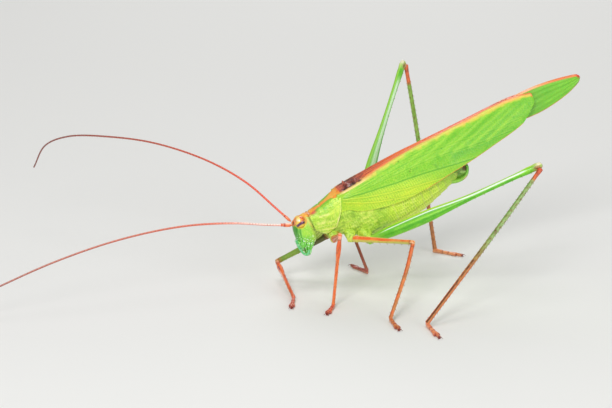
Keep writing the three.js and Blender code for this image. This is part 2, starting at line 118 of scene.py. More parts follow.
def noise(P, size, seed=1):
    """Smooth noise from -1 to 1 with bumps about `size` mm across; size may be one number or three."""
    q = np.asarray(P, float) / np.asarray(size, float) + 4096.5
    i = np.floor(q).astype(np.int64)
    f = q - i
    f = f * f * (3 - 2 * f)
    out = 0
    for dx in (0, 1):
        for dy in (0, 1):
            for dz in (0, 1):
                w = (f[..., 0] if dx else 1 - f[..., 0]) * (f[..., 1] if dy else 1 - f[..., 1]) * (f[..., 2] if dz else 1 - f[..., 2])
                out = out + w * _hash(i[..., 0] + dx, i[..., 1] + dy, i[..., 2] + dz, seed)
    return out * 2 - 1


def fbm(P, size, seed=1, octaves=3):
    size = np.asarray(size, float)
    return sum(noise(P, size / 2**k, seed + 17 * k) * 0.55**k for k in range(octaves)) / 1.6


def cells(P, size, seed=1):
    """Nearest and second nearest distance, in cells, to scattered points."""
    q = np.asarray(P, float) / np.asarray(size, float) + 4096.5
    i = np.floor(q).astype(np.int64)
    f = q - i
    d1 = np.full(q.shape[:-1], 9.0)
    d2 = d1.copy()
    for dx in (-1, 0, 1):
        for dy in (-1, 0, 1):
            for dz in (-1, 0, 1):
                a, b, c = i[..., 0] + dx, i[..., 1] + dy, i[..., 2] + dz
                p = np.stack([_hash(a, b, c, seed + k) for k in (0, 5, 9)], -1) * 0.8 + 0.1
                d = np.linalg.norm(V(dx, dy, dz) + p - f, axis=-1)
                d2 = np.minimum(d2, np.maximum(d1, d))
                d1 = np.minimum(d1, d)
    return d1, d2


def courses(a, b, wide, tall, seed, wander=0.3):
    """Brick courses: 1 on the joints. a runs along a course, b across the courses, both in millimetres."""
    P = np.stack([a, b, 0 * a], -1)
    b2 = b / tall + wander * noise(P, 1.3, seed)
    row = np.floor(b2)
    a2 = a / wide + 7.31 * row + 0.5 * np.sin(row * 12.9 + seed) + wander * noise(P, 0.7, seed + 1)
    across = np.abs(b2 - row - 0.5)
    along = np.abs(a2 - np.floor(a2) - 0.5)
    return np.maximum(0.75 * step(0.33, 0.5, across), step(0.3, 0.47, along))


def near(a, b, points, value=None):
    """Distance from each (a, b) to the line through points [[a, b], ...]; with value, also how far along, 0 to 1."""
    points = np.asarray(points, float)
    q = np.stack([a, b], -1)
    best = np.full(q.shape[:-1], 1e9)
    along = np.zeros_like(best)
    lengths = np.linalg.norm(np.diff(points, axis=0), axis=1)
    total, run = lengths.sum(), 0.0
    for k in range(len(points) - 1):
        e = points[k + 1] - points[k]
        s = clamp(((q - points[k]) @ e) / (e @ e))
        d = np.linalg.norm(q - points[k] - s[..., None] * e, axis=-1)
        closer = d < best
        best = np.where(closer, d, best)
        along = np.where(closer, (run + s * lengths[k]) / total, along)
        run += lengths[k]
    return (best, along) if value else best


# ---------------------------------------------------------------- frames
_p = BODY_PITCH * DEG


def body(P):
    """Body axes (x tailward along the back, z up from the ridge) to the stance frame."""
    P = np.asarray(P, float)
    x, y, z = P[..., 0], P[..., 1], P[..., 2]
    return np.stack([x * math.cos(_p) - z * math.sin(_p), y, x * math.sin(_p) + z * math.cos(_p) + RIDGE_HEIGHT], -1)


_a, _b = HEAD_TURN * DEG, HEAD_TILT * DEG
HEAD_R = (np.array([[math.cos(_a), -math.sin(_a), 0], [math.sin(_a), math.cos(_a), 0], [0, 0, 1]])
          @ np.array([[1, 0, 0], [0, math.cos(_b), -math.sin(_b)], [0, math.sin(_b), math.cos(_b)]]))


def headed(P):
    return np.asarray(P, float) @ HEAD_R.T + HEAD_PIVOT


def to_head(P):
    return (np.asarray(P, float) - HEAD_PIVOT) @ HEAD_R


def same(P):
    return np.asarray(P, float)


class Curve:
    """A smooth curve through points (centripetal Catmull-Rom), read by share of length."""

    def __init__(self, points, fine=60):
        pts = np.asarray(points, float)
        if len(pts) == 2:
            dense = pts[0] + (pts[1] - pts[0]) * np.linspace(0, 1, fine)[:, None]
        else:
            ext = np.vstack([2 * pts[0] - pts[1], pts, 2 * pts[-1] - pts[-2]])
            out = []
            for k in range(len(pts) - 1):
                a, b, c, d = ext[k:k + 4]
                t = [0]
                for p, q in ((a, b), (b, c), (c, d)):
                    t.append(t[-1] + max(np.linalg.norm(q - p), 1e-9) ** 0.5)
                s = np.linspace(t[1], t[2], fine, endpoint=k == len(pts) - 2)[:, None]
                A1 = (t[1] - s) / (t[1] - t[0]) * a + (s - t[0]) / (t[1] - t[0]) * b
                A2 = (t[2] - s) / (t[2] - t[1]) * b + (s - t[1]) / (t[2] - t[1]) * c
                A3 = (t[3] - s) / (t[3] - t[2]) * c + (s - t[2]) / (t[3] - t[2]) * d
                B1 = (t[2] - s) / (t[2] - t[0]) * A1 + (s - t[0]) / (t[2] - t[0]) * A2
                B2 = (t[3] - s) / (t[3] - t[1]) * A2 + (s - t[1]) / (t[3] - t[1]) * A3
                out.append((t[2] - s) / (t[2] - t[1]) * B1 + (s - t[1]) / (t[2] - t[1]) * B2)
            dense = np.vstack(out)
        self.p = dense
        run = np.concatenate([[0], np.cumsum(np.linalg.norm(np.diff(dense, axis=0), axis=1))])
        self.length = run[-1]
        self.s = run / run[-1]

    def at(self, t):
        t = np.asarray(t, float)
        return np.stack([np.interp(t, self.s, self.p[:, k]) for k in range(3)], -1)

    def tangent(self, t, e=0.004):
        t = np.asarray(t, float)
        return unit(self.at(clamp(t + e)) - self.at(clamp(t - e)))


# ---------------------------------------------------------------- mesh building
class Skin:
    """Collects closed surfaces with a colour at every vertex, all in one mesh. Each surface is turned to face outwards."""

    def __init__(self):
        self.v, self.c, self.f, self.n = [], [], [], 0

    def _add(self, P, C, quads, tris):
        P = np.asarray(P, float).reshape(-1, 3)
        C = np.broadcast_to(np.asarray(C, float), P.shape)
        T = np.vstack([quads[:, [0, 1, 2]], quads[:, [0, 2, 3]], tris]) if len(tris) else np.vstack([quads[:, [0, 1, 2]], quads[:, [0, 2, 3]]])
        A, B, D = (P - P.mean(0))[T[:, 0]], (P - P.mean(0))[T[:, 1]], (P - P.mean(0))[T[:, 2]]
        if np.einsum("ij,ij->i", A, np.cross(B, D)).sum() < 0:
            quads, tris = quads[:, ::-1], tris[:, ::-1]
        self.v.append(P)
        self.c.append(C)
        self.f.extend((quads + self.n).tolist())
        self.f.extend((tris + self.n).tolist())
        self.n += len(P)

    def loft(self, P, C):
        """A closed skin over rings P[i, j], the last point of each ring meeting the first, with both ends closed."""
        P = np.asarray(P, float)
        C = np.broadcast_to(np.asarray(C, float), P.shape)
        nu, nv = P.shape[:2]
        idx = np.arange(nu * nv).reshape(nu, nv)
        right = np.roll(idx, -1, axis=1)
        quads = np.stack([idx[:-1], right[:-1], right[1:], idx[1:]], -1).reshape(-1, 4)
        m = nu * nv
        tris = np.vstack([np.stack([np.full(nv, m), right[0], idx[0]], -1), np.stack([np.full(nv, m + 1), idx[-1], right[-1]], -1)])
        P2 = np.vstack([P.reshape(-1, 3), P[0].mean(0), P[-1].mean(0)])
        C2 = np.vstack([C.reshape(-1, 3), C[0].mean(0), C[-1].mean(0)])
        self._add(P2, C2, quads, tris)

    def plate(self, top, under, C, C_under=None):
        """A thin plate: outer surface top[i, j] and inner surface under[i, j], joined round the rim."""
        nu, nv = top.shape[:2]
        C = np.broadcast_to(np.asarray(C, float), top.shape)
        Cu = C if C_under is None else np.broadcast_to(np.asarray(C_under, float), under.shape)
        a = np.arange(nu * nv).reshape(nu, nv)
        b = a + nu * nv
        q = [np.stack([a[:-1, :-1], a[:-1, 1:], a[1:, 1:], a[1:, :-1]], -1).reshape(-1, 4),
             np.stack([b[:-1, :-1], b[1:, :-1], b[1:, 1:], b[:-1, 1:]], -1).reshape(-1, 4)]
        rim = np.concatenate([a[0, :-1], a[:-1, -1], a[-1, :0:-1], a[:0:-1, 0]])
        nxt = np.roll(rim, -1)
        q.append(np.stack([nxt, rim, rim + nu * nv, nxt + nu * nv], -1))
        self._add(np.vstack([top.reshape(-1, 3), under.reshape(-1, 3)]), np.vstack([C.reshape(-1, 3), Cu.reshape(-1, 3)]),
                  np.vstack(q), np.zeros((0, 3), int))

    def limb(self, path, up, rows, shape, paint, around=24, cap0=0.0, cap1=0.0, steps=None, warp=same):
        """A limb along path. shape(t, w) gives the half widths across and up at share t and angle w (a quarter turn is up), paint(t, w, P)
        the colour. cap0 and cap1 round the ends off over that many millimetres."""
        curve = path if isinstance(path, Curve) else Curve(path)
        t = np.linspace(0, 1, rows) if steps is None else np.asarray(steps, float)
        over, shrink = np.zeros(len(t)), np.ones(len(t))
        k = np.array([1.5, 1.2, 0.9, 0.6, 0.3])
        if cap0:
            t = np.concatenate([np.zeros(5), t]); over = np.concatenate([-cap0 * np.sin(k), over]); shrink = np.concatenate([np.cos(k), shrink])
        if cap1:
            t = np.concatenate([t, np.ones(5)]); over = np.concatenate([over, cap1 * np.sin(k[::-1])]); shrink = np.concatenate([shrink, np.cos(k[::-1])])
        w = np.arange(around) / around * 2 * math.pi
        T, W = np.meshgrid(t, w, indexing="ij")
        tangent = curve.tangent(t)
        centre = curve.at(t) + tangent * over[:, None]
        u = unit(up - tangent * (tangent @ np.asarray(up, float))[:, None])
        s = np.cross(u, tangent)
        a, b = shape(T, W)
        a, b = a * shrink[:, None], b * shrink[:, None]
        P = centre[:, None] + s[:, None] * (a * np.cos(W))[..., None] + u[:, None] * (b * np.sin(W))[..., None]
        P = warp(P)
        self.loft(P, paint(T, W, P))
        return P

    def spine(self, base, direction, length, radius, colour, tip=None, bend=None):
        """A small thorn, hair or claw: a cone, bent towards `bend` if given."""
        d = unit(direction)
        n = 5 if bend is not None else 3
        t = np.linspace(0, 1, n)
        centre = base + d * (t * length)[:, None]
        if bend is not None:
            centre = centre + np.asarray(bend, float) * (t**2)[:, None]
        s = unit(np.cross(d, [0.31, 0.52, 0.79]))
        u = np.cross(d, s)
        w = np.arange(5) / 5 * 2 * math.pi
        r = radius * (1 - t * 0.92)
        P = centre[:, None] + (s * np.cos(w)[:, None] + u * np.sin(w)[:, None])[None] * r[:, None, None]
        tip = colour if tip is None else tip
        C = mix(np.broadcast_to(colour, P.shape), np.broadcast_to(tip, P.shape), np.broadcast_to((t**1.2)[:, None], P.shape[:2]))
        self.loft(P, C)

    def blob(self, centre, radii, paint, turn=np.eye(3), fine=(36, 48), power=2.0, swell=None, warp=same):
        """A closed rounded lump. turn holds its three axes as rows; paint(q) gives the colour at unit direction q (in its own axes)."""
        a = np.linspace(-math.pi / 2, math.pi / 2, fine[0] + 2)[1:-1]
        w = np.arange(fine[1]) / fine[1] * 2 * math.pi
        A, W = np.meshgrid(a, w, indexing="ij")
        q = np.stack([np.cos(A) * np.cos(W), np.cos(A) * np.sin(W), np.sin(A)], -1)
        r = (np.abs(q) ** power).sum(-1, keepdims=True) ** (-1 / power)
        shape = q * r * np.asarray(radii, float)
        if swell is not None:
            shape = shape * (1 + swell(q))[..., None]
        P = warp(np.asarray(centre, float) + shape @ np.asarray(turn, float))
        self.loft(P, paint(q, P) if callable(paint) else paint)
        return P

    def make(self, name, material, slot, *nodes):
        P = np.vstack(self.v)
        C = clamp(np.vstack(self.c))
        P = (P - V(CENTRE[0], CENTRE[1], 0)) * 0.001
        me = bpy.data.meshes.new(name)
        sizes = np.array([len(f) for f in self.f], dtype=np.int32)
        loops = np.fromiter((k for f in self.f for k in f), dtype=np.int32, count=int(sizes.sum()))
        me.vertices.add(len(P))
        me.vertices.foreach_set("co", P.astype(np.float32).ravel())
        me.loops.add(len(loops))
        me.loops.foreach_set("vertex_index", loops)
        me.polygons.add(len(sizes))
        me.polygons.foreach_set("loop_start", np.concatenate([[0], np.cumsum(sizes)[:-1]]).astype(np.int32))
        me.update(calc_edges=True)
        lin = np.where(C <= 0.04045, C / 12.92, ((C + 0.055) / 1.055) ** 2.4)
        layer = me.color_attributes.new("Coat", "FLOAT_COLOR", "POINT")
        layer.data.foreach_set("color", np.hstack([lin, np.ones((len(lin), 1))]).astype(np.float32).ravel())
        me.polygons.foreach_set("use_smooth", np.ones(len(me.polygons), bool))
        me.update()
        ob = bpy.data.objects.new(name, me)
        bpy.context.scene.collection.objects.link(ob)
        me.materials.append(material)
        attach(ob, "root")
        if nodes:
            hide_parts(*nodes)
        return ob


# ---------------------------------------------------------------- materials
def cuticle(name, rough=(0.3, 0.5), fleck=0.16, fleck_size=0.09, pits=0.12, depth=0.012, coat=0.15, specular=0.5, sheen=0.0, warm=0.06,
            subsurface=0.0):
    """Insect skin: the painted colour broken up by fine flecks, with pits in relief. Sizes in millimetres."""
    m = bpy.data.materials.new(name)
    m.use_nodes = True
    nt = m.node_tree
    nt.nodes.clear()
    node = nt.nodes.new
    out, bsdf = node("ShaderNodeOutputMaterial"), node("ShaderNodeBsdfPrincipled")
    nt.links.new(bsdf.outputs[0], out.inputs[0])
    colour = node("ShaderNodeAttribute")
    colour.attribute_name = "Coat"
    place = node("ShaderNodeTexCoord")
    flecks = node("ShaderNodeTexNoise")
    flecks.inputs["Scale"].default_value = 1000 / fleck_size
    flecks.inputs["Detail"].default_value = 3
    flecks.inputs["Roughness"].default_value = 0.6
    pores = node("ShaderNodeTexVoronoi")
    pores.inputs["Scale"].default_value = 1000 / pits
    nt.links.new(place.outputs["Object"], flecks.inputs["Vector"])
    nt.links.new(place.outputs["Object"], pores.inputs["Vector"])
    value = node("ShaderNodeMapRange")
    value.inputs["From Min"].default_value, value.inputs["From Max"].default_value = 0.3, 0.7
    value.inputs["To Min"].default_value, value.inputs["To Max"].default_value = 1 - fleck, 1 + fleck
    nt.links.new(flecks.outputs["Fac"], value.inputs["Value"])
    hue = node("ShaderNodeMapRange")
    hue.inputs["From Min"].default_value, hue.inputs["From Max"].default_value = 0.0, 1.0
    hue.inputs["To Min"].default_value, hue.inputs["To Max"].default_value = 0.5 - warm * 0.25, 0.5 + warm * 0.25
    nt.links.new(pores.outputs["Distance"], hue.inputs["Value"])
    tint = node("ShaderNodeHueSaturation")
    nt.links.new(colour.outputs["Color"], tint.inputs["Color"])
    nt.links.new(value.outputs[0], tint.inputs["Value"])
    nt.links.new(hue.outputs[0], tint.inputs["Hue"])
    nt.links.new(tint.outputs[0], bsdf.inputs["Base Color"])
    gloss = node("ShaderNodeMapRange")
    gloss.inputs["From Min"].default_value, gloss.inputs["From Max"].default_value = 0.3, 0.7
    gloss.inputs["To Min"].default_value, gloss.inputs["To Max"].default_value = rough[0], rough[1]
    nt.links.new(flecks.outputs["Fac"], gloss.inputs["Value"])
    nt.links.new(gloss.outputs[0], bsdf.inputs["Roughness"])
    bump = node("ShaderNodeBump")
    bump.inputs["Strength"].default_value = 0.7
    bump.inputs["Distance"].default_value = depth * 0.001
    nt.links.new(pores.outputs["Distance"], bump.inputs["Height"])
    nt.links.new(bump.outputs[0], bsdf.inputs["Normal"])
    bsdf.inputs["Specular IOR Level"].default_value = specular
    bsdf.inputs["Coat Weight"].default_value = coat
    bsdf.inputs["Coat Roughness"].default_value = 0.25
    if sheen:
        bsdf.inputs["Sheen Weight"].default_value = sheen
        bsdf.inputs["Sheen Roughness"].default_value = 0.4
    if subsurface:
        bsdf.inputs["Subsurface Weight"].default_value = subsurface
        bsdf.inputs["Subsurface Radius"].default_value = (0.6, 0.9, 0.3)
        bsdf.inputs["Subsurface Scale"].default_value = 0.0003
    return m


SHELL = cuticle("cuticle_shell", rough=(0.34, 0.52), fleck=0.1, fleck_size=0.16, pits=0.13, depth=0.014, coat=0.12)
SOFT = cuticle("cuticle_soft", rough=(0.42, 0.6), fleck=0.12, fleck_size=0.12, pits=0.1, depth=0.016, coat=0.05)
FACE = cuticle("cuticle_face", rough=(0.34, 0.5), fleck=0.14, fleck_size=0.1, pits=0.09, depth=0.012, coat=0.12)
LEG = cuticle("cuticle_leg", rough=(0.26, 0.42), fleck=0.12, fleck_size=0.1, pits=0.07, depth=0.008, coat=0.22)
WING = cuticle("wing_membrane", rough=(0.3, 0.46), fleck=0.08, fleck_size=0.12, pits=0.16, depth=0.01, coat=0.12)
HORN = cuticle("antenna_skin", rough=(0.3, 0.45), fleck=0.14, fleck_size=0.07, pits=0.05, depth=0.006, coat=0.2)
GLOSS = cuticle("eye_lens", rough=(0.07, 0.14), fleck=0.05, fleck_size=0.05, pits=0.045, depth=0.004, coat=0.7, specular=0.7)
PALP = cuticle("palp_skin", rough=(0.2, 0.32), fleck=0.08, fleck_size=0.08, pits=0.06, depth=0.005, coat=0.4)

# painted colours
GREEN = rgb(128, 205, 40)
LIME = rgb(160, 224, 52)
YELLOW_GREEN = rgb(190, 226, 66)
YELLOW = rgb(226, 232, 60)
PALE = rgb(232, 236, 170)
DEEP = rgb(66, 148, 30)
ORANGE = rgb(240, 130, 48)
RED_ORANGE = rgb(232, 84, 40)
SALMON = rgb(246, 168, 112)
RED_BROWN = rgb(120, 42, 26)
DARK = rgb(52, 20, 18)
CREAM = rgb(246, 232, 186)


def facing(P, wrap=True):
    """Outward normals of a grid of points that goes round in its second direction."""
    du = np.gradient(P, axis=0)
    dv = (np.roll(P, -1, 1) - np.roll(P, 1, 1)) if wrap else np.gradient(P, axis=1)
    n = unit(np.cross(du, dv))
    return n * np.sign(np.einsum("ijk,ijk->", n, P - P.mean(1, keepdims=True)))


def super_ring(W, power):
    c, s = np.cos(W), np.sin(W)
    return np.sign(c) * np.abs(c) ** (2 / power), np.sign(s) * np.abs(s) ** (2 / power)


# ================================================================= trunk: thorax and abdomen in one skin
TRUNK = [  # x, top, bottom, half width, squareness
    [-3.9, -2.0, -3.72, 0.75, 2.4], [-3.2, -1.2, -3.98, 1.02, 2.5], [-2.2, -0.8, -4.5, 1.18, 2.5], [-1.0, -0.75, -5.2, 1.42, 2.5],
    [0.4, -0.7, -6.1, 1.62, 2.5], [1.8, -0.65, -6.65, 1.74, 2.5], [3.0, -0.7, -6.95, 1.74, 2.4], [4.6, -1.3, -7.08, 1.7, 2.2],
    [6.2, -1.6, -7.06, 1.66, 2.1], [7.8, -1.95, -6.8, 1.58, 2.1], [9.4, -2.35, -6.38, 1.44, 2.1], [10.8, -2.8, -5.96, 1.25, 2.1],
    [11.9, -3.1, -5.58, 1.04, 2.1], [12.6, -3.35, -5.33, 0.88, 2.1], [13.0, -3.62, -5.08, 0.66, 2.1], [13.12, -3.9, -4.8, 0.35, 2.0]]
SEGMENTS = [3.7, 4.8, 5.95, 7.1, 8.25, 9.35, 10.4, 11.35, 12.15, 12.8]


def segment_wave(x):
    """0 at the front edge of each abdominal ring, rising to 1 at its hind rim, where it drops."""
    k = np.clip(np.searchsorted(SEGMENTS, x, side="right") - 1, 0, len(SEGMENTS) - 2)
    s = clamp((x - np.take(SEGMENTS, k)) / (np.take(SEGMENTS, k + 1) - np.take(SEGMENTS, k)))
    return np.where(x < SEGMENTS[0], 0.4, s), k


PLEURAL = [[[0.95, -5.6], [0.45, -4.6], [-0.25, -3.4], [-0.5, -2.6]], [[1.9, -5.7], [1.55, -4.9], [1.15, -4.1], [0.95, -3.4]],
           [[3.1, -5.7], [2.75, -5.0], [2.25, -4.2], [2.1, -3.5]]]


def trunk(skin):
    x = np.unique(np.concatenate([np.linspace(-3.9, 13.12, 270), np.linspace(12.7, 13.12, 10)]))
    w = np.arange(216) / 216 * 2 * math.pi
    X, W = np.meshgrid(x, w, indexing="ij")
    top, bottom, half, power = [table(TRUNK, X)[..., k] for k in range(4)]
    cy, cz = super_ring(W, power)
    P = np.stack([X, cy * half, (top + bottom) / 2 + cz * (top - bottom) / 2], -1)
    Z = P[..., 2]
    n = facing(P)
    wave, k = segment_wave(X)
    back = step(3.3, 4.2, X)
    rise = back * (0.075 * wave**1.6 - 0.03) * (1 - 0.5 * step(12.0, 13.0, X))
    fold = table([[3.5, -5.9], [7.0, -5.75], [10.0, -5.25], [13.0, -4.75]], X)[..., 0]       # lower edge of the side plates
    rise = rise - back * 0.05 * bell(Z, fold - 0.1, 0.09) + back * 0.03 * bell(Z, fold + 0.08, 0.1)
    side = np.abs(cy) ** 0.5 * (1 - back)
    lines = np.ones_like(X) * 9
    for points in PLEURAL:
        lines = np.minimum(lines, near(X, Z, points))
    rise = rise - side * 0.014 * np.exp(-(lines / 0.09) ** 2) + side * 0.01 * np.exp(-((lines - 0.2) / 0.12) ** 2)
    rise = rise + 0.012 * fbm(P, 0.35, 3) + 0.02 * noise(P, 0.9, 8) * (1 - back)
    P = P + n * rise[..., None]
    warped = P + 0.12 * np.stack([noise(P, 0.5, 14), 0 * X, noise(P, 0.5, 15)], -1)
    d1, d2 = cells(warped, (0.21, 0.4, 0.3), 4)
    net = 1 - step(0.06, 0.34, d2 - d1)
    rib = 0.5 + 0.5 * np.sin(X * 2 * math.pi / 0.27 + 2.2 * noise(P, 0.7, 16))       # fine upright ridges, as on a leaf
    patch = step(-0.2, 0.5, noise(P, (1.0, 1.0, 0.6), 17))
    course = courses(X, Z + 0.02 * X, 0.27, 0.4, 22) * step(1.5, 3.5, X)
    net = np.maximum(net * (1 - 0.6 * step(1.5, 3.5, X)), course)
    P = P + n * (0.026 * net + 0.016 * rib * patch * (1 - step(1.5, 3.5, X)))[..., None]
    # colour
    C = mix(rgb(176, 214, 54), rgb(212, 236, 72), 0.5 + 0.5 * fbm(P, (0.9, 1, 0.45), 11))
    C = mix(C, rgb(244, 252, 124), net * 0.6 * (1 - 0.45 * step(9, 12.5, X)))
    C = mix(C, rgb(232, 248, 110), 0.6 * rib**2 * patch * (1 - step(1.5, 3.5, X)))
    C = mix(C, rgb(132, 180, 38), 0.45 * step(0.12, 0.5, d2 - d1) * (1 - net) * (0.5 + 0.5 * noise(P, 0.7, 18)))
    C = mix(C, rgb(132, 172, 40), 0.4 * (1 - rib) ** 2 * patch * (1 - step(1.5, 3.5, X)))
    C = mix(C, rgb(150, 192, 44), 0.5 * (1 - net) * step(1.5, 3.5, X) * (1 - step(9, 12, X)))
    C = mix(C, rgb(240, 252, 150), 0.5 * step(0.35, 0.75, noise(P, (0.5, 0.3, 0.13), 19)))
    C = mix(C, rgb(120, 168, 44), 0.4 * step(0.35, 0.75, noise(P, (0.6, 0.3, 0.14), 20)) * (1 - back))
    C = mix(C, rgb(146, 200, 70), 0.65 * step(9.2, 12.6, X))
    C = mix(C, rgb(130, 166, 66), 0.35 * back * step(0.75, 1.0, wave) * step(6, 10, X))
    C = mix(C, rgb(222, 226, 150), back * 0.5 * bell(wave, 0.97, 0.05))
    C = mix(C, rgb(160, 170, 70), 0.35 * back * bell(Z, fold - 0.12, 0.12))
    C = mix(C, rgb(214, 224, 128), back * 0.4 * step(fold - 0.1, fold - 0.5, Z))
    C = mix(C, rgb(120, 156, 44), 0.14 * side * np.exp(-(lines / 0.07) ** 2))
    C = mix(C, rgb(236, 240, 170), 0.2 * side * np.exp(-((lines - 0.17) / 0.09) ** 2))
    C = mix(C, rgb(236, 238, 178), 0.5 * (1 - back) * step(-5.5, -6.1, Z) * step(-1.6, 0.2, X))
    C = mix(C, rgb(196, 214, 110), 0.7 * step(-0.8, -2.4, X))
    C = mix(C, rgb(150, 70, 30), 0.75 * step(-1.6, -1.0, Z) * step(0.6, 2.0, X) * (1 - step(11, 13, X)))     # back, under the wings
    C = C * mix(V(0.87, 0.95, 0.8), V(1.06, 1.05, 0.98), step(2.8, 5.0, X))
    C = mix(C, rgb(112, 158, 36), 0.5 * (1 - back) * step(0.25, 0.65, noise(P, (0.45, 0.4, 0.22), 24)))
    C = mix(C, rgb(236, 246, 110), 0.55 * (1 - back) * step(0.35, 0.7, noise(P, (0.9, 0.5, 0.16), 30)))
    skin.loft(body(P), C)

    # plate under the tail, a trough curved up and back
    path = body([[11.9, 0, -4.95], [12.9, 0, -5.36], [13.85, 0, -5.34], [14.36, 0, -4.72], [14.4, 0, -3.75]])
    rows = [[0, 0.8, 0.5], [0.3, 0.74, 0.44], [0.6, 0.52, 0.36], [0.85, 0.32, 0.28], [1, 0.2, 0.2]]

    def trough(T, W):
        a, b = table(rows, T)[..., 0], table(rows, T)[..., 1]
        return a, np.where(np.sin(W) > 0, 0.4 * b, b)

    def paint_plate(T, W, P):
        C = mix(rgb(150, 222, 62), rgb(106, 206, 48), step(0.2, 0.8, T))
        C = mix(C, rgb(190, 238, 110), 0.4 * bell(np.abs(np.cos(W)), 1.0, 0.25))
        C = mix(C, rgb(255, 190, 160), 0.85 * bell(T, 0.5, 0.07) * step(0.1, -0.4, np.sin(W)))
        C = mix(C, rgb(150, 190, 80), 0.5 * step(0.3, 0.7, np.sin(W)) * step(0.1, 0.4, T))
        return mix(C, C * 0.8, 0.5 + 0.5 * fbm(P, 0.2, 5))
    skin.limb(path, body([0, 0, 1]) - body([0, 0, 0]), 60, trough, paint_plate, around=40, cap1=0.12)
    # last rings and the hollow between the tail and the plate, with painted shade in the hollow
    def paint_hollow(q, P):
        C = mix(rgb(150, 206, 84), rgb(104, 142, 56), clamp(0.5 + 0.9 * fbm(P, (0.3, 0.4, 0.14), 25)))
        C = mix(C, rgb(206, 236, 150), 0.6 * bell(q[..., 2] + 0.4 * q[..., 0], -0.15, 0.12))
        # painted shade: dark brown over the upper half, where the hollow lies in shadow
        return mix(C, rgb(92, 50, 30), 0.85 * step(-0.2, 0.2, q[..., 2] + 0.3 * noise(P, 0.25, 26)))
    skin.blob(body(V(13.55, 0, -4.5)), V(0.85, 0.5, 0.82), paint_hollow, turn=np.stack([unit(body([1, 0, -0.15]) - body([0, 0, 0])), V(0, 1, 0), unit(body([0.15, 0, 1]) - body([0, 0, 0]))]),
              fine=(40, 56), power=2.4, swell=lambda q: 0.04 * np.sin(q[..., 0] * 5 + q[..., 2] * 4))
    # plate over the tail and the two claspers
    path = body([[12.6, 0, -3.7], [13.1, 0, -3.85], [13.5, 0, -4.1]])
    skin.limb(path, body([0, 0, 1]) - body([0, 0, 0]), 24, lambda T, W: (table([[0, 0.5], [1, 0.26]], T)[..., 0], 0.14 + 0 * T),
              lambda T, W, P: mix(rgb(134, 160, 76), rgb(90, 118, 46), T), around=20, cap1=0.12)
    for side in (-1, 1):
        path = body([[12.5, side * 0.55, -4.0], [13.2, side * 0.82, -4.18], [13.85, side * 0.66, -4.02], [14.22, side * 0.2, -3.66]])
        skin.limb(path, V(0, 0, 1), 40, lambda T, W: (table([[0, 0.26], [0.5, 0.2], [0.85, 0.13], [1, 0.09]], T)[..., 0],) * 2,
                  lambda T, W, P: mix(rgb(120, 168, 60), rgb(110, 60, 30), step(0.55, 1, T)), around=16, cap1=0.08)


# ================================================================= pronotum: the saddle behind the head
def hind_rim(z):
    return np.where(z > -1.7, 0.4 * np.minimum(0, z - 0.05), -0.7 + 0.76 * (z + 1.7))


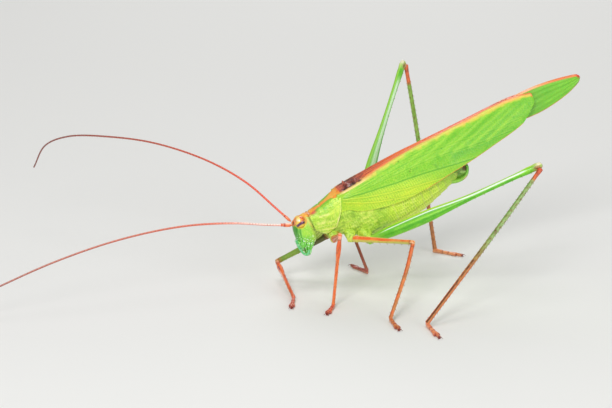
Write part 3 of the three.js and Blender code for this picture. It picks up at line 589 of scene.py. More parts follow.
def pronotum():
    skin = Skin()
    u = np.linspace(0, 1, 150)
    w = np.arange(200) / 200 * 2 * math.pi
    U, W = np.meshgrid(u, w, indexing="ij")
    c, s = np.cos(W), np.sin(W)
    half = 1.12 + (1.62 - 1.12) * U**0.9
    top = -0.8 + (0.12 + 0.8) * U**1.45
    bottom = -3.05 + (-4.02 + 3.05) * np.sin(np.minimum(1, U * 1.9) * math.pi / 2) + 0.22 * step(0.55, 1.0, U)
    mid, h = (top + bottom) / 2, (top - bottom) / 2
    y = np.sign(c) * np.abs(c) ** 0.6 * half * (1 - 0.1 * np.maximum(0, s))
    z = mid + np.sign(s) * np.abs(s) ** np.where(s > 0, 0.5, 0.62) * h
    front = -4.35 + 0.12 + 0.1 * np.maximum(0, -2.2 - z)
    X = front + (hind_rim(z) - front) * U
    P = np.stack([X, y, z], -1)
    n = facing(P)
    lobe = step(-0.78, -0.66, s)                          # 0 under the lobes
    rim = bell(U, 1.0, 0.03) + 0.8 * bell(U, 0.0, 0.022) + bell(s, -0.72, 0.05)
    rise = 0.03 * rim * lobe * (1 - 0.7 * step(0.9, 1.0, U)) - 0.13 * (1 - lobe)
    rise = rise - 0.008 * lobe * bell(U, 0.94, 0.025) - 0.035 * lobe * bell(U, 0.07, 0.03)
    # sulcus across the saddle and the impressed lines of the lobe
    rise = rise - 0.05 * bell(U + 0.05 * np.abs(s), 0.46, 0.03) * step(0.2, 0.5, s)
    rise = rise - 0.028 * np.exp(-(near(X, z, [[-3.2, -1.2], [-2.6, -1.9], [-2.1, -2.7], [-2.5, -3.0]]) / 0.11) ** 2)
    rise = rise + 0.05 * bell(np.abs(y), 0.95, 0.2) * step(0.5, 0.9, s) * 0.5
    warped = P + 0.1 * np.stack([noise(P, 0.5, 26), 0 * X, noise(P, 0.5, 27)], -1)
    d1, d2 = cells(warped, (0.34, 0.3, 0.24), 28)
    net = 1 - step(0.04, 0.28, d2 - d1)
    rise = rise + 0.016 * fbm(P, (0.7, 0.3, 0.16), 21) + 0.012 * fbm(P, 0.2, 23) + 0.014 * net
    P = P + n * rise[..., None]
    # colour: yellow-green lobes with pale streaks, orange stripe along the back
    grain = fbm(P, (1.2, 0.5, 0.22), 31)
    C = mix(rgb(150, 208, 44), rgb(220, 246, 88), clamp(0.5 + 0.8 * grain))
    C = mix(C, rgb(232, 246, 122), 0.5 * net)
    C = mix(C, rgb(120, 184, 46), 0.5 * step(0.3, 0.7, d1) * (1 - net))
    C = mix(C, rgb(90, 186, 48), 0.65 * step(-1.7, -0.8, z) * step(0.8, 0.5, U) * step(0.0, 0.35, U) * step(-0.3, 0.4, noise(P, (0.5, 0.5, 0.3), 41)))
    for (x0, z0), (x1, z1), wd, m in (((-3.2, -1.42), (-2.2, -1.56), 0.11, 1.0), ((-3.75, -2.12), (-2.0, -2.5), 0.09, 0.95), ((-3.5, -1.85), (-2.7, -1.9), 0.07, 0.7), ((-3.8, -2.5), (-1.9, -2.95), 0.07, 0.7),
                                      ((-4.0, -2.85), (-2.0, -3.4), 0.09, 0.9), ((-4.0, -3.15), (-2.6, -3.65), 0.07, 0.8), ((-2.9, -0.95), (-2.0, -0.95), 0.08, 0.5)):
        C = mix(C, rgb(244, 246, 150), m * np.exp(-(near(X, z, [[x0, z0], [x1, z1]]) / wd) ** 2) * (0.75 + 0.35 * grain))
    C = mix(C, rgb(140, 178, 60), 0.3 * np.exp(-(near(X, z, [[-3.2, -1.2], [-2.6, -1.9], [-2.1, -2.7], [-2.5, -3.0]]) / 0.08) ** 2))
    C = mix(C, rgb(234, 242, 140), lobe * np.maximum(0.7 * bell(s, -0.7, 0.05), 0.35 * bell(U, 0.985, 0.02)))
    C = mix(C, rgb(248, 226, 190), 0.8 * bell(U, 0.975, 0.022) * bell(z, -2.7, 0.6))
    C = mix(C, rgb(140, 160, 60), 0.5 * bell(U, 0.0, 0.02))
    ay = np.abs(y)
    wide = table([[0, 0.52], [0.12, 0.56], [0.3, 0.36], [0.55, 0.34], [0.72, 0.5], [0.84, 0.9], [1, 1.0]], U)[..., 0]
    across = np.abs(y + 0.15)
    stripe = step(wide + 0.07, wide - 0.05, across + 0.05 * fbm(P, 0.3, 51)) * step(0.0, 0.3, s)
    warm = mix(rgb(255, 150, 44), rgb(255, 200, 84), 0.5 + 0.8 * fbm(P, (0.5, 0.25, 0.3), 52))
    warm = mix(warm, rgb(240, 92, 40), 0.5 * bell(across, wide, 0.1))
    C = mix(C, rgb(110, 196, 54), 0.7 * step(0.78, 0.93, s) * step(0.14, 0.3, U) * step(0.9, 0.74, U))
    warm = mix(warm, rgb(236, 96, 40), 0.7 * step(0.9, 1.0, U + 0.05 * noise(P, 0.3, 54)) * step(0.9, 0.3, ay))
    C = mix(C, warm, stripe)
    C = mix(C, rgb(224, 76, 84), 0.9 * np.exp(-((X + 3.6) / 0.36) ** 2 - ((ay - 0.74) / 0.21) ** 2) * step(-1.2, -0.8, z))
    C = mix(C, rgb(206, 84, 60), 0.5 * bell(U, 0.02, 0.02) * step(0.4, 0.8, s))
    C = mix(C, rgb(150, 160, 84), 0.8 * (1 - lobe))
    rows = [body(P[0] * V(1, 0.86, 1) + V(0.25, 0, 0.0)), body(P[0] * V(1, 0.95, 1) + V(0.02, 0, 0))]
    inner = P[-1].copy()
    centre = inner.mean(0)
    lip = [centre + (inner - centre) * k + V(-d, 0, -e) for k, d, e in ((0.965, 0.0, 0.02), (0.92, 0.02, 0.12), (0.86, 0.1, 0.3))]
    G = np.stack(rows + list(body(P)) + [body(q) for q in lip])
    front_row = C[:1] * 0.88
    # the lip rows inside the hind rim are painted pale yellow-green, orange at the top, as painted light that lightens
    # the shade line behind the rim
    CC = np.concatenate([front_row, front_row, C, mix(np.broadcast_to(rgb(206, 232, 100), (3,) + C.shape[1:]), rgb(220, 112, 66), step(0.3, 0.8, np.broadcast_to(s[-1:], (3,) + s.shape[1:])))])
    skin.loft(G, CC)
    return skin.make("pronotum_saddle", SHELL, "pronotum", "pronotum")


# ================================================================= wings
TEGMEN = [  # x, ridge, inner, shoulder, lower, flare
    [-0.9, -0.04, 0.29, 1.0, -1.75, 1.16], [0.0, 0.06, 0.29, 1.12, -1.85, 1.34], [1.2, 0.14, 0.29, 1.18, -2.58, 1.6], [2.8, 0.24, 0.29, 1.12, -3.08, 1.72],
    [4.5, 0.38, 0.28, 1.0, -3.46, 1.8], [6.5, 0.5, 0.26, 0.88, -3.7, 1.86], [8.8, 0.58, 0.24, 0.7, -3.7, 1.86], [12.0, 0.58, 0.2, 0.52, -3.46, 1.76],
    [15.0, 0.57, 0.15, 0.42, -3.28, 1.5], [18.0, 0.58, 0.1, 0.36, -2.96, 1.25], [20.8, 0.56, 0.08, 0.36, -2.64, 1.0], [22.4, 0.43, 0.1, 0.38, -2.3, 0.85],
    [24.4, -0.04, 0.16, 0.46, -1.6, 0.7]]
FLAP = 0.14
VEINS = {  # share across the wing at places along it, in (x, v)
    "radius": [(0.1, 0.385), (1.9, 0.446), (3.6, 0.50), (5.8, 0.565), (7.9, 0.628), (10.8, 0.741), (13.7, 0.894), (15.6, 1.0)],
    "subcosta": [(0.0, 0.45), (2.4, 0.60), (4.8, 0.71), (7.2, 0.81), (9.6, 0.90), (11.4, 1.0)],
    "costa": [(-0.1, 0.56), (1.6, 0.72), (3.6, 0.84), (6.0, 0.93), (7.6, 1.0)],
    "media": [(0.2, 0.345), (2.1, 0.36), (4.5, 0.39), (7.0, 0.425), (9.5, 0.46), (12.2, 0.53), (15.0, 0.66), (17.8, 0.80), (20.6, 0.95)],
    "cubitus": [(0.4, 0.30), (3.5, 0.29), (6.0, 0.305), (8.6, 0.325), (11.1, 0.36), (13.6, 0.42), (16.4, 0.55), (19.6, 0.70), (22.0, 0.80)],
    "anal": [(0.9, 0.24), (4.0, 0.225), (8.0, 0.235), (11.0, 0.245), (13.0, 0.25)]}
BRANCHES = [[(10.2, 0.475), (12.2, 0.44), (15.1, 0.322), (17.6, 0.17)], [(12.0, 0.525), (13.3, 0.475), (16.2, 0.364), (19.4, 0.17)],
            [(13.6, 0.59), (15.8, 0.54), (18.0, 0.45), (19.9, 0.36), (21.7, 0.24)], [(15.4, 0.68), (17.8, 0.60), (20.0, 0.50), (22.2, 0.38)],
            [(17.6, 0.79), (19.8, 0.68), (21.8, 0.58), (23.2, 0.47)], [(8.4, 0.44), (10.4, 0.385), (12.6, 0.29), (14.4, 0.19)],
            [(6.2, 0.41), (8.0, 0.35), (9.8, 0.27), (11.4, 0.19)], [(3.8, 0.38), (5.6, 0.32), (7.4, 0.25), (8.8, 0.18)]]


def tegmen_point(x, v, side, left):
    ridge, inner, shoulder, lower, flare = [table(TEGMEN, x)[..., k] for k in range(5)]
    flat = 0.16
    reach = 0.72 * (1 - step(3.0, 6.0, x)) + 0.03 if left else 0.0 * x - 0.02
    reach = reach - (inner + reach) * step(17.0, 21.0, x)
    f = clamp(-v / FLAP)
    q0, q1 = clamp(v / flat), clamp((v - flat) / (1 - flat))
    y = np.where(v < 0, inner - (inner + reach) * f, np.where(v < flat, inner + (shoulder - inner) * q0,
                                                           shoulder + (flare - shoulder) * np.sin(q1 * math.pi / 2) ** 0.85))
    z = np.where(v < flat, ridge - 0.05 * q0**2, ridge - 0.05 + (lower - ridge + 0.05) * q1**1.04)
    z = z - 0.16 * step(0.5, -0.6, x) * step(0.2, 0.1, v)
    if left:
        z = z + 0.02 * step(0.1, -0.05, v)
    else:
        z = z - 0.13 * step(0.12, -0.02, v) * (1 - step(16, 20, x))
    return np.stack([x, side * y, z - FOIL / 2], -1)


def tegmen(name, side):
    left = side < 0
    skin = Skin()
    u, v = np.linspace(0, 1, 400), np.concatenate([np.linspace(-FLAP, 0.2, 28), np.linspace(0.2, 1, 94)[1:]])
    U, T = np.meshgrid(u, v, indexing="ij")
    tip = TEGMEN_LENGTH - 2.25 * (np.abs(T - 0.3) / 0.7) ** 3.2
    base = -0.3 - 0.8 * clamp(T)
    X = base + (tip - base) * U**1.02
    P = tegmen_point(X, T, side, left)
    n = facing(P, wrap=False)
    out = np.stack([0 * X, side * (0.2 + clamp(T) * 0.9), 1.1 - clamp(T)], -1)
    n = n * np.sign((n * out).sum(-1, keepdims=True))
    span = (table(TEGMEN, X)[..., 0] - table(TEGMEN, X)[..., 3]) / 0.84
    B = T * span                                                     # millimetres across the wing

    def line(points):
        pts = np.array(points, float)
        sp = (table(TEGMEN, clamp(pts[:, 0], 0, 24))[..., 0] - table(TEGMEN, clamp(pts[:, 0], 0, 24))[..., 3]) / 0.84
        return near(X, B, np.stack([pts[:, 0], pts[:, 1] * sp], -1), True)

    veins = {k: line(p) for k, p in VEINS.items()}
    twigs = [line(p) for p in BRANCHES]
    side_field = step(0.15, 0.19, T)
    dorsal = step(0.175, 0.15, T)
    # fine network: bricks between the costal veins, small cells elsewhere
    d1, d2 = cells(np.stack([X, B * 1.0, 0 * X], -1), (0.36, 0.3, 1.0), 61)
    net = 1 - step(0.02, 0.16, d2 - d1)
    b1, b2 = cells(np.stack([X + 0.12 * noise(P, 0.6, 68), B + 0.12 * noise(P, 0.6, 69), 0 * X], -1), (0.21, 0.36, 1.0), 67)
    bricks = np.maximum(0.5 * (1 - step(0.06, 0.32, b2 - b1)), courses(X - 0.25 * B, B, 0.27, 0.4, 64) * step(0.8, 3.0, X))
    cd = veins["radius"][0]
    lowside = T > np.interp(X, [p[0] for p in VEINS["radius"]], [p[1] for p in VEINS["radius"]])
    costal = step(-0.02, 0.03, T - np.interp(X, [p[0] for p in VEINS["radius"]], [p[1] for p in VEINS["radius"]]))
    costal = costal * (1 - 0.6 * step(7.5, 11, X)) * (1 - step(12, 15.5, X))
    relief = 0.014 * net * side_field * (1 - costal) + 0.03 * bricks * costal
    for k, (d, a) in veins.items():
        wide, high = (0.07, 0.05) if k in ("radius", "subcosta") else (0.055, 0.036)
        relief = np.maximum(relief, high * (1 - 0.6 * a) * np.exp(-(d / wide) ** 2) * step(0.1, 0.18, T))
    for d, a in twigs:
        relief = np.maximum(relief, 0.032 * np.exp(-(d / 0.05) ** 2) * side_field * (1 - 0.5 * a))
    relief = relief + 0.02 * fbm(P, 1.1, 71) * side_field * step(2, 6, X)
    edge = np.minimum(np.minimum(U * 24, (1 - U) * 24), (1 - T) * span)
    relief = relief + 0.03 * np.exp(-(edge / 0.09) ** 2)
    # colour of the side field
    C = mix(rgb(118, 198, 34), rgb(154, 220, 50), 0.5 + 0.55 * fbm(P, (2.2, 1.0, 0.6), 72))
    C = mix(C, rgb(112, 196, 36), 0.5 * step(13, 18, X) * step(0.2, 0.4, T))
    C = mix(C, rgb(186, 226, 66), 0.6 * step(3.4, 0.4, X) * side_field)
    C = mix(C, rgb(214, 176, 90), 0.55 * step(0.5, 0.8, noise(P, (0.4, 0.2, 0.14), 63)) * bell(X, 2.4, 1.5) * step(0.4, 0.2, T) * side_field)
    C = mix(C, rgb(190, 230, 52), 0.85 * costal * step(0.0, 0.12, T - np.interp(X, [p[0] for p in VEINS["radius"]], [p[1] for p in VEINS["radius"]])))
    C = mix(C, rgb(220, 238, 46), 0.7 * np.exp(-(near(X, T * 5, [[0.0, 3.3], [2.5, 3.95], [4.7, 4.25], [7.2, 4.5], [9.8, 4.85]]) / 0.42) ** 2))
    C = mix(C, rgb(206, 240, 96), (0.5 - 0.2 * step(6, 12, X)) * net * side_field * (1 - costal))
    C = mix(C, rgb(84, 168, 30), 0.45 * step(0.45, 0.8, d1) * side_field * (1 - costal) * step(0.0, 0.5, noise(P, (0.7, 0.5, 0.4), 65)))
    C = mix(C, rgb(244, 254, 100), 0.68 * bricks * costal)
    C = mix(C, rgb(140, 206, 40), 0.62 * costal * (1 - bricks) * (0.5 + 0.5 * noise(P, 0.9, 66)))
    band = [[13.4, 3.6], [16.0, 4.0], [18.5, 4.3], [21.0, 4.8]]
    C = mix(C, rgb(86, 176, 36), (0.42 + 0.3 * noise(P, (0.8, 0.5, 0.4), 73)) * np.exp(-(near(X, T * 5, band) / 0.45) ** 2))
    C = mix(C, rgb(150, 214, 60), 0.35 * np.exp(-(near(X, T * 5, [[12.0, 4.4], [16.0, 4.75]]) / 0.3) ** 2))
    for k, (d, a) in veins.items():
        if k == "radius":
            C = mix(C, rgb(84, 168, 38), 0.62 * np.exp(-((d) / 0.075) ** 2) * side_field)
            C = mix(C, rgb(186, 232, 92), 0.35 * np.exp(-((d - 0.15) / 0.07) ** 2) * side_field)
        elif k in ("costa", "subcosta"):
            C = mix(C, rgb(226, 240, 80), 0.6 * np.exp(-(d / 0.06) ** 2) * side_field)
            C = mix(C, rgb(140, 190, 40), 0.35 * np.exp(-((d - 0.12) / 0.05) ** 2) * side_field)
        else:
            C = mix(C, rgb(96, 182, 42), (0.3 + 0.15 * step(6, 10, X)) * np.exp(-(d / 0.055) ** 2) * side_field * (1 - 0.4 * a))
            C = mix(C, rgb(190, 236, 84), 0.35 * np.exp(-((d - 0.12) / 0.06) ** 2) * side_field)
    for d, a in twigs:
        C = mix(C, rgb(190, 236, 88), (0.2 + 0.34 * step(7, 13, X)) * np.exp(-(d / 0.16) ** 2) * side_field * (1 - 0.35 * a))
        C = mix(C, rgb(96, 184, 36), 0.26 * step(6, 12, X) * np.exp(-((d - 0.42) / 0.18) ** 2) * side_field * (1 - 0.35 * a))
    for x0, v0, r in ((7.36, 0.205, 0.07), (8.04, 0.50, 0.07), (8.2, 0.47, 0.045), (5.02, 0.90, 0.05), (12.4, 0.41, 0.04), (4.4, 0.79, 0.05), (5.3, 0.83, 0.04), (3.0, 0.35, 0.035)):
        s0 = float((table(TEGMEN, [x0])[0, 0] - table(TEGMEN, [x0])[0, 3]) / 0.84)
        C = mix(C, rgb(60, 96, 24), 0.8 * np.exp(-((X - x0) ** 2 + (B - v0 * s0) ** 2) / r**2))
    # warm border along the back
    glow = table([[0, 0.18], [2.0, 0.18], [3.4, 0.18], [5.0, 0.165], [9.0, 0.155], [12.0, 0.165], [16.0, 0.18], [20.0, 0.19], [24.4, 0.19]], X)[..., 0]
    glow = glow + 0.012 * fbm(P, (0.7, 0.5, 0.5), 77)
    near_side = step(-0.02, 0.03, T) if left else 0 * T
    C = mix(C, rgb(228, 216, 84), 0.85 * step(glow + 0.055, glow - 0.01, T + 0.035 * noise(P, (0.35, 0.3, 0.3), 83)) * step(2.6, 4.0, X))
    patchy = 0.95 + (clamp(0.55 + 0.8 * noise(P, (1.3, 0.4, 0.4), 90)) - 0.95) * step(5.0, 8.0, X)
    C = mix(C, mix(rgb(252, 196, 104), rgb(248, 158, 84), clamp(0.5 + 0.7 * fbm(P, (0.9, 0.3, 0.3), 78))), patchy * step(glow + 0.0, glow - 0.035, T))
    red = mix(rgb(234, 98, 44), rgb(250, 136, 66), 0.5 + 0.6 * fbm(P, (1.2, 0.3, 0.3), 74))
    # darker red towards the base; on the right wing this darkening is stronger, as painted shade
    red = mix(red, rgb(168, 50, 30), (0.35 if left else 0.7) * (1 - step(4, 8.5, X)) * (0.6 + 0.5 * fbm(P, (0.8, 0.15, 0.2), 75)))
    red = mix(red, rgb(244, 118, 92), 0.6 * step(10, 15, X))
    line_at = table([[0, 0.13], [3.0, 0.06], [6.0, 0.03], [10.0, 0.035], [14.0, 0.06], [18.0, 0.09], [24.4, 0.12]], X)[..., 0]
    # painted shade: on the right wing the red border is widened over the whole top field
    if not left:
        line_at = np.maximum(line_at, 0.15)
    C = mix(C, red, step(line_at + 0.02, line_at - 0.02, T))
    if left:
        C = mix(C, rgb(250, 112, 52), 0.75 * step(0.02, 0.05, T) * step(0.125, 0.1, T) * step(2.6, 3.6, X) * (1 - step(8, 11, X)))
    C = mix(C, rgb(198, 64, 46), 0.6 * bell(T, line_at - 0.01, 0.018) * step(2.5, 4, X) * step(12, 8, X) * (0.6 + 0.4 * fbm(P, (0.8, 0.3, 0.3), 79)))
    C = mix(C, rgb(250, 206, 190), 0.6 * bell(T, 0.0, 0.03) * step(10, 16, X))
    # sound area at the base of the back: dark brown with a pale outer line
    base_field = step(0.17, 0.15, T) * step(3.5, 2.4, X + 5.0 * np.maximum(0, T - 0.06) + 0.9 * fbm(P, (0.6, 0.3, 0.3), 80)) * step(-0.35, 0.5, X + 0.5 * fbm(P, (0.4, 0.25, 0.3), 86) + 0.4 * T)
    brown = mix(rgb(64, 20, 18), rgb(176, 78, 58), clamp(0.5 + 0.95 * fbm(P, (0.36, 0.2, 0.3), 76)))
    brown = mix(brown, rgb(222, 118, 92), 0.8 * step(0.9, 0.2, X + 0.4 * noise(P, 0.3, 87)))
    C = mix(C, rgb(104, 30, 22), 0.75 * step(0.0, 0.4, fbm(P, (0.9, 0.18, 0.3), 88)) * step(0.08, 0.0, T) * step(7.5, 4.0, X) * step(2.0, 3.0, X))
    brown = mix(brown, rgb(232, 116, 62), 0.75 * step(0.05, 0.5, fbm(P, (0.5, 0.22, 0.3), 89)) * step(0.9, 1.8, X))
    C = mix(C, brown, 0.95 * base_field)
    C = mix(C, rgb(44, 16, 16), 0.85 * base_field * bell(T, 0.125, 0.025) * step(0.3, 0.8, X))
    C = mix(C, rgb(254, 224, 150), 0.95 * bell(T, 0.172, 0.013) * step(4.2, 2.6, X) * step(0.0, 0.4, X))
    # thin orange rims
    C = mix(C, rgb(238, 150, 60), 0.95 * step(0.985, 0.994, T) * step(7.5, 10, X))
    C = mix(C, rgb(236, 236, 80), 0.4 * step(0.975, 0.992, T) * step(9.5, 7, X))
    C = mix(C, rgb(238, 140, 72), 0.9 * step(0.99, 0.998, U) * step(0.3, 0.2, T) * (1 - step(0.8, 0.95, T)))
    # relief of the sound area: thick cross vein and mirror cell
    bx, by = X, side * P[..., 1]
    my = P[..., 1] * (1 if left else -1)
    rough = base_field * step(-0.2, 0.2, X)
    file_vein = np.exp(-(near(bx, my, [[1.05, -1.0], [1.25, -0.3], [1.1, 0.5]]) / 0.12) ** 2) * rough
    slant = np.exp(-(near(bx, my, [[0.1, -0.9], [0.9, -0.2], [2.6, 0.1]]) / 0.09) ** 2) * rough
    rung = np.exp(-(near(bx, my, [[2.0, -0.9], [2.3, 0.4]]) / 0.08) ** 2) * rough
    knob = np.exp(-(((bx - 0.98) / 0.16) ** 2 + ((my - 0.3) / 0.26) ** 2)) * (1.0 if left else 0.0)
    hollow = rough * np.maximum(np.exp(-((bx - 1.7) / 0.28) ** 2 - ((my + 0.62) / 0.3) ** 2), np.exp(-((bx - 0.62) / 0.22) ** 2 - ((my + 0.85) / 0.2) ** 2))
    relief = relief + 0.06 * file_vein + 0.04 * slant + 0.04 * rung + 0.5 * knob - 0.12 * hollow + 0.05 * rough * fbm(P, 0.28, 82) + 0.05 * bell(T, 0.172, 0.015) * step(3.5, 2.5, X)
    C = mix(C, rgb(168, 74, 56), 0.6 * np.maximum(file_vein, slant) + 0.4 * rung * (1 - file_vein))
    C = mix(C, rgb(36, 12, 14), 0.9 * hollow)
    C = mix(C, rgb(190, 104, 74), 0.85 * knob)
    C = C * mix(V(0.95, 0.96, 0.82), V(1, 1, 1), step(0.2, 0.16, T))
    top, under = P + n * (FOIL / 2 + relief)[..., None], P + n * (FOIL / 2 - 0.13)
    skin.plate(body(top), body(under), C, mix(C, rgb(150, 180, 90), 0.5))
    return skin.make(name, WING, "tegmen", "tegmen_left" if left else "tegmen_right")


HINDWING = [[5.0, -0.75, -1.25], [9.0, -0.5, -1.7], [14.0, -0.35, -2.0], [20.0, -0.1, -2.4], [22.2, 0.26, -2.6], [23.4, 0.4, -2.72], [24.7, 0.35, -2.78],
            [26.5, 0.14, -2.64], [28.3, -0.2, -2.32], [29.5, -0.5, -1.92], [30.2, -0.72, -1.55], [30.42, -0.92, -1.2]]


def hindwing(name, side):
    skin = Skin()
    x = np.concatenate([np.linspace(5.0, 29.7, 260), np.linspace(29.7, 30.42, 26)[1:]])
    w = np.arange(120) / 120 * 2 * math.pi
    X, W = np.meshgrid(x, w, indexing="ij")
    top, bottom = table(HINDWING, X)[..., 0], table(HINDWING, X)[..., 1]
    s = np.sin(W)
    q = (1 - s) / 2                                      # 0 at the top, 1 at the bottom
    folds = 0.035 * np.sin(q * 30 + 0.4 * np.sin(X)) * step(0.05, 0.3, q) * step(1.0, 0.8, q)
    thick = 0.15 * (0.55 + 0.45 * np.abs(np.cos(W)) ** 0.4)
    Y = side * 0.13 + np.sign(np.cos(W)) * np.abs(np.cos(W)) ** 0.5 * thick * 0.8 + folds
    Z = (top + bottom) / 2 + s * (top - bottom) / 2
    P = np.stack([X, Y, Z], -1)
    C = mix(rgb(104, 184, 36), rgb(132, 206, 46), 0.5 + 0.5 * fbm(P, (1.6, 0.6, 0.35), 81))
    ridge = 0.5 + 0.5 * np.sin(q * 30 + 0.4 * np.sin(X))
    C = mix(C, rgb(92, 172, 40), 0.28 * ridge**3)
    C = mix(C, rgb(110, 170, 60), 0.3 * step(26.4, 24.6, X))
    depth_mm = q * (top - bottom)
    C = mix(C, mix(rgb(250, 172, 104), rgb(240, 120, 66), clamp((X - 25) / 3)), 0.95 * step(0.24, 0.13, depth_mm) * step(20, 23, X))
    C = mix(C, rgb(248, 200, 176), 0.75 * step(0.16, 0.05, depth_mm) * bell(X, 24.2, 1.3))
    C = mix(C, mix(rgb(224, 130, 84), rgb(190, 108, 112), step(28.5, 29.8, X)), 0.85 * step(0.13, 0.04, (1 - q) * (top - bottom)))
    C = mix(C, rgb(206, 62, 44), 0.85 * step(30.0, 30.3, X) * step(0.7, 0.3, q))
    skin.loft(body(P), C)
    return skin.make(name, WING, "hindwing", "hindwing_left" if side < 0 else "hindwing_right")


# ================================================================= head
HEAD = [  # depth below the centre of the head, front, back, half width, squareness
    [-1.2, -0.28, 0.12, 0.1, 2.0], [-1.17, -0.46, 0.3, 0.24, 2.0], [-1.12, -0.66, 0.5, 0.4, 2.0], [-0.97, -0.98, 0.6, 0.7, 2.0], [-0.7, -1.36, 0.66, 0.88, 2.1],
    [-0.35, -1.72, 0.68, 0.98, 2.3], [0, -1.94, 0.62, 1.04, 2.4], [0.6, -1.92, 0.48, 1.12, 2.4], [1.2, -1.78, 0.66, 1.14, 2.4], [1.65, -1.6, 0.68, 1.06, 2.4],
    [2.05, -1.44, 0.56, 0.94, 2.3], [2.2, -1.3, 0.4, 0.8, 2.2]]
SOCKET = [V(-1.98, -0.45, 0.02), V(-1.98, 0.45, 0.02)]


def eye_axes(side):
    k = 8 * DEG
    return np.array([[math.cos(k), 0, math.sin(k)], [0, 1, 0], [-math.sin(k), 0, math.cos(k)]])


def eye_metric(P, side):
    d = (P - V(EYE["x"], side * EYE["y"], EYE["z"])) @ eye_axes(side).T
    return d / V(EYE["rx"], EYE["ry"], EYE["rz"])


def specks(P, size, seed, share=0.0):
    """Round spots at scattered places, 1 at their centres."""
    d1, d2 = cells(P, size, seed)
    return (1 - step(0.16, 0.34, d1)) * step(share - 0.25, share + 0.1, noise(P, size * 2.2, seed + 3))


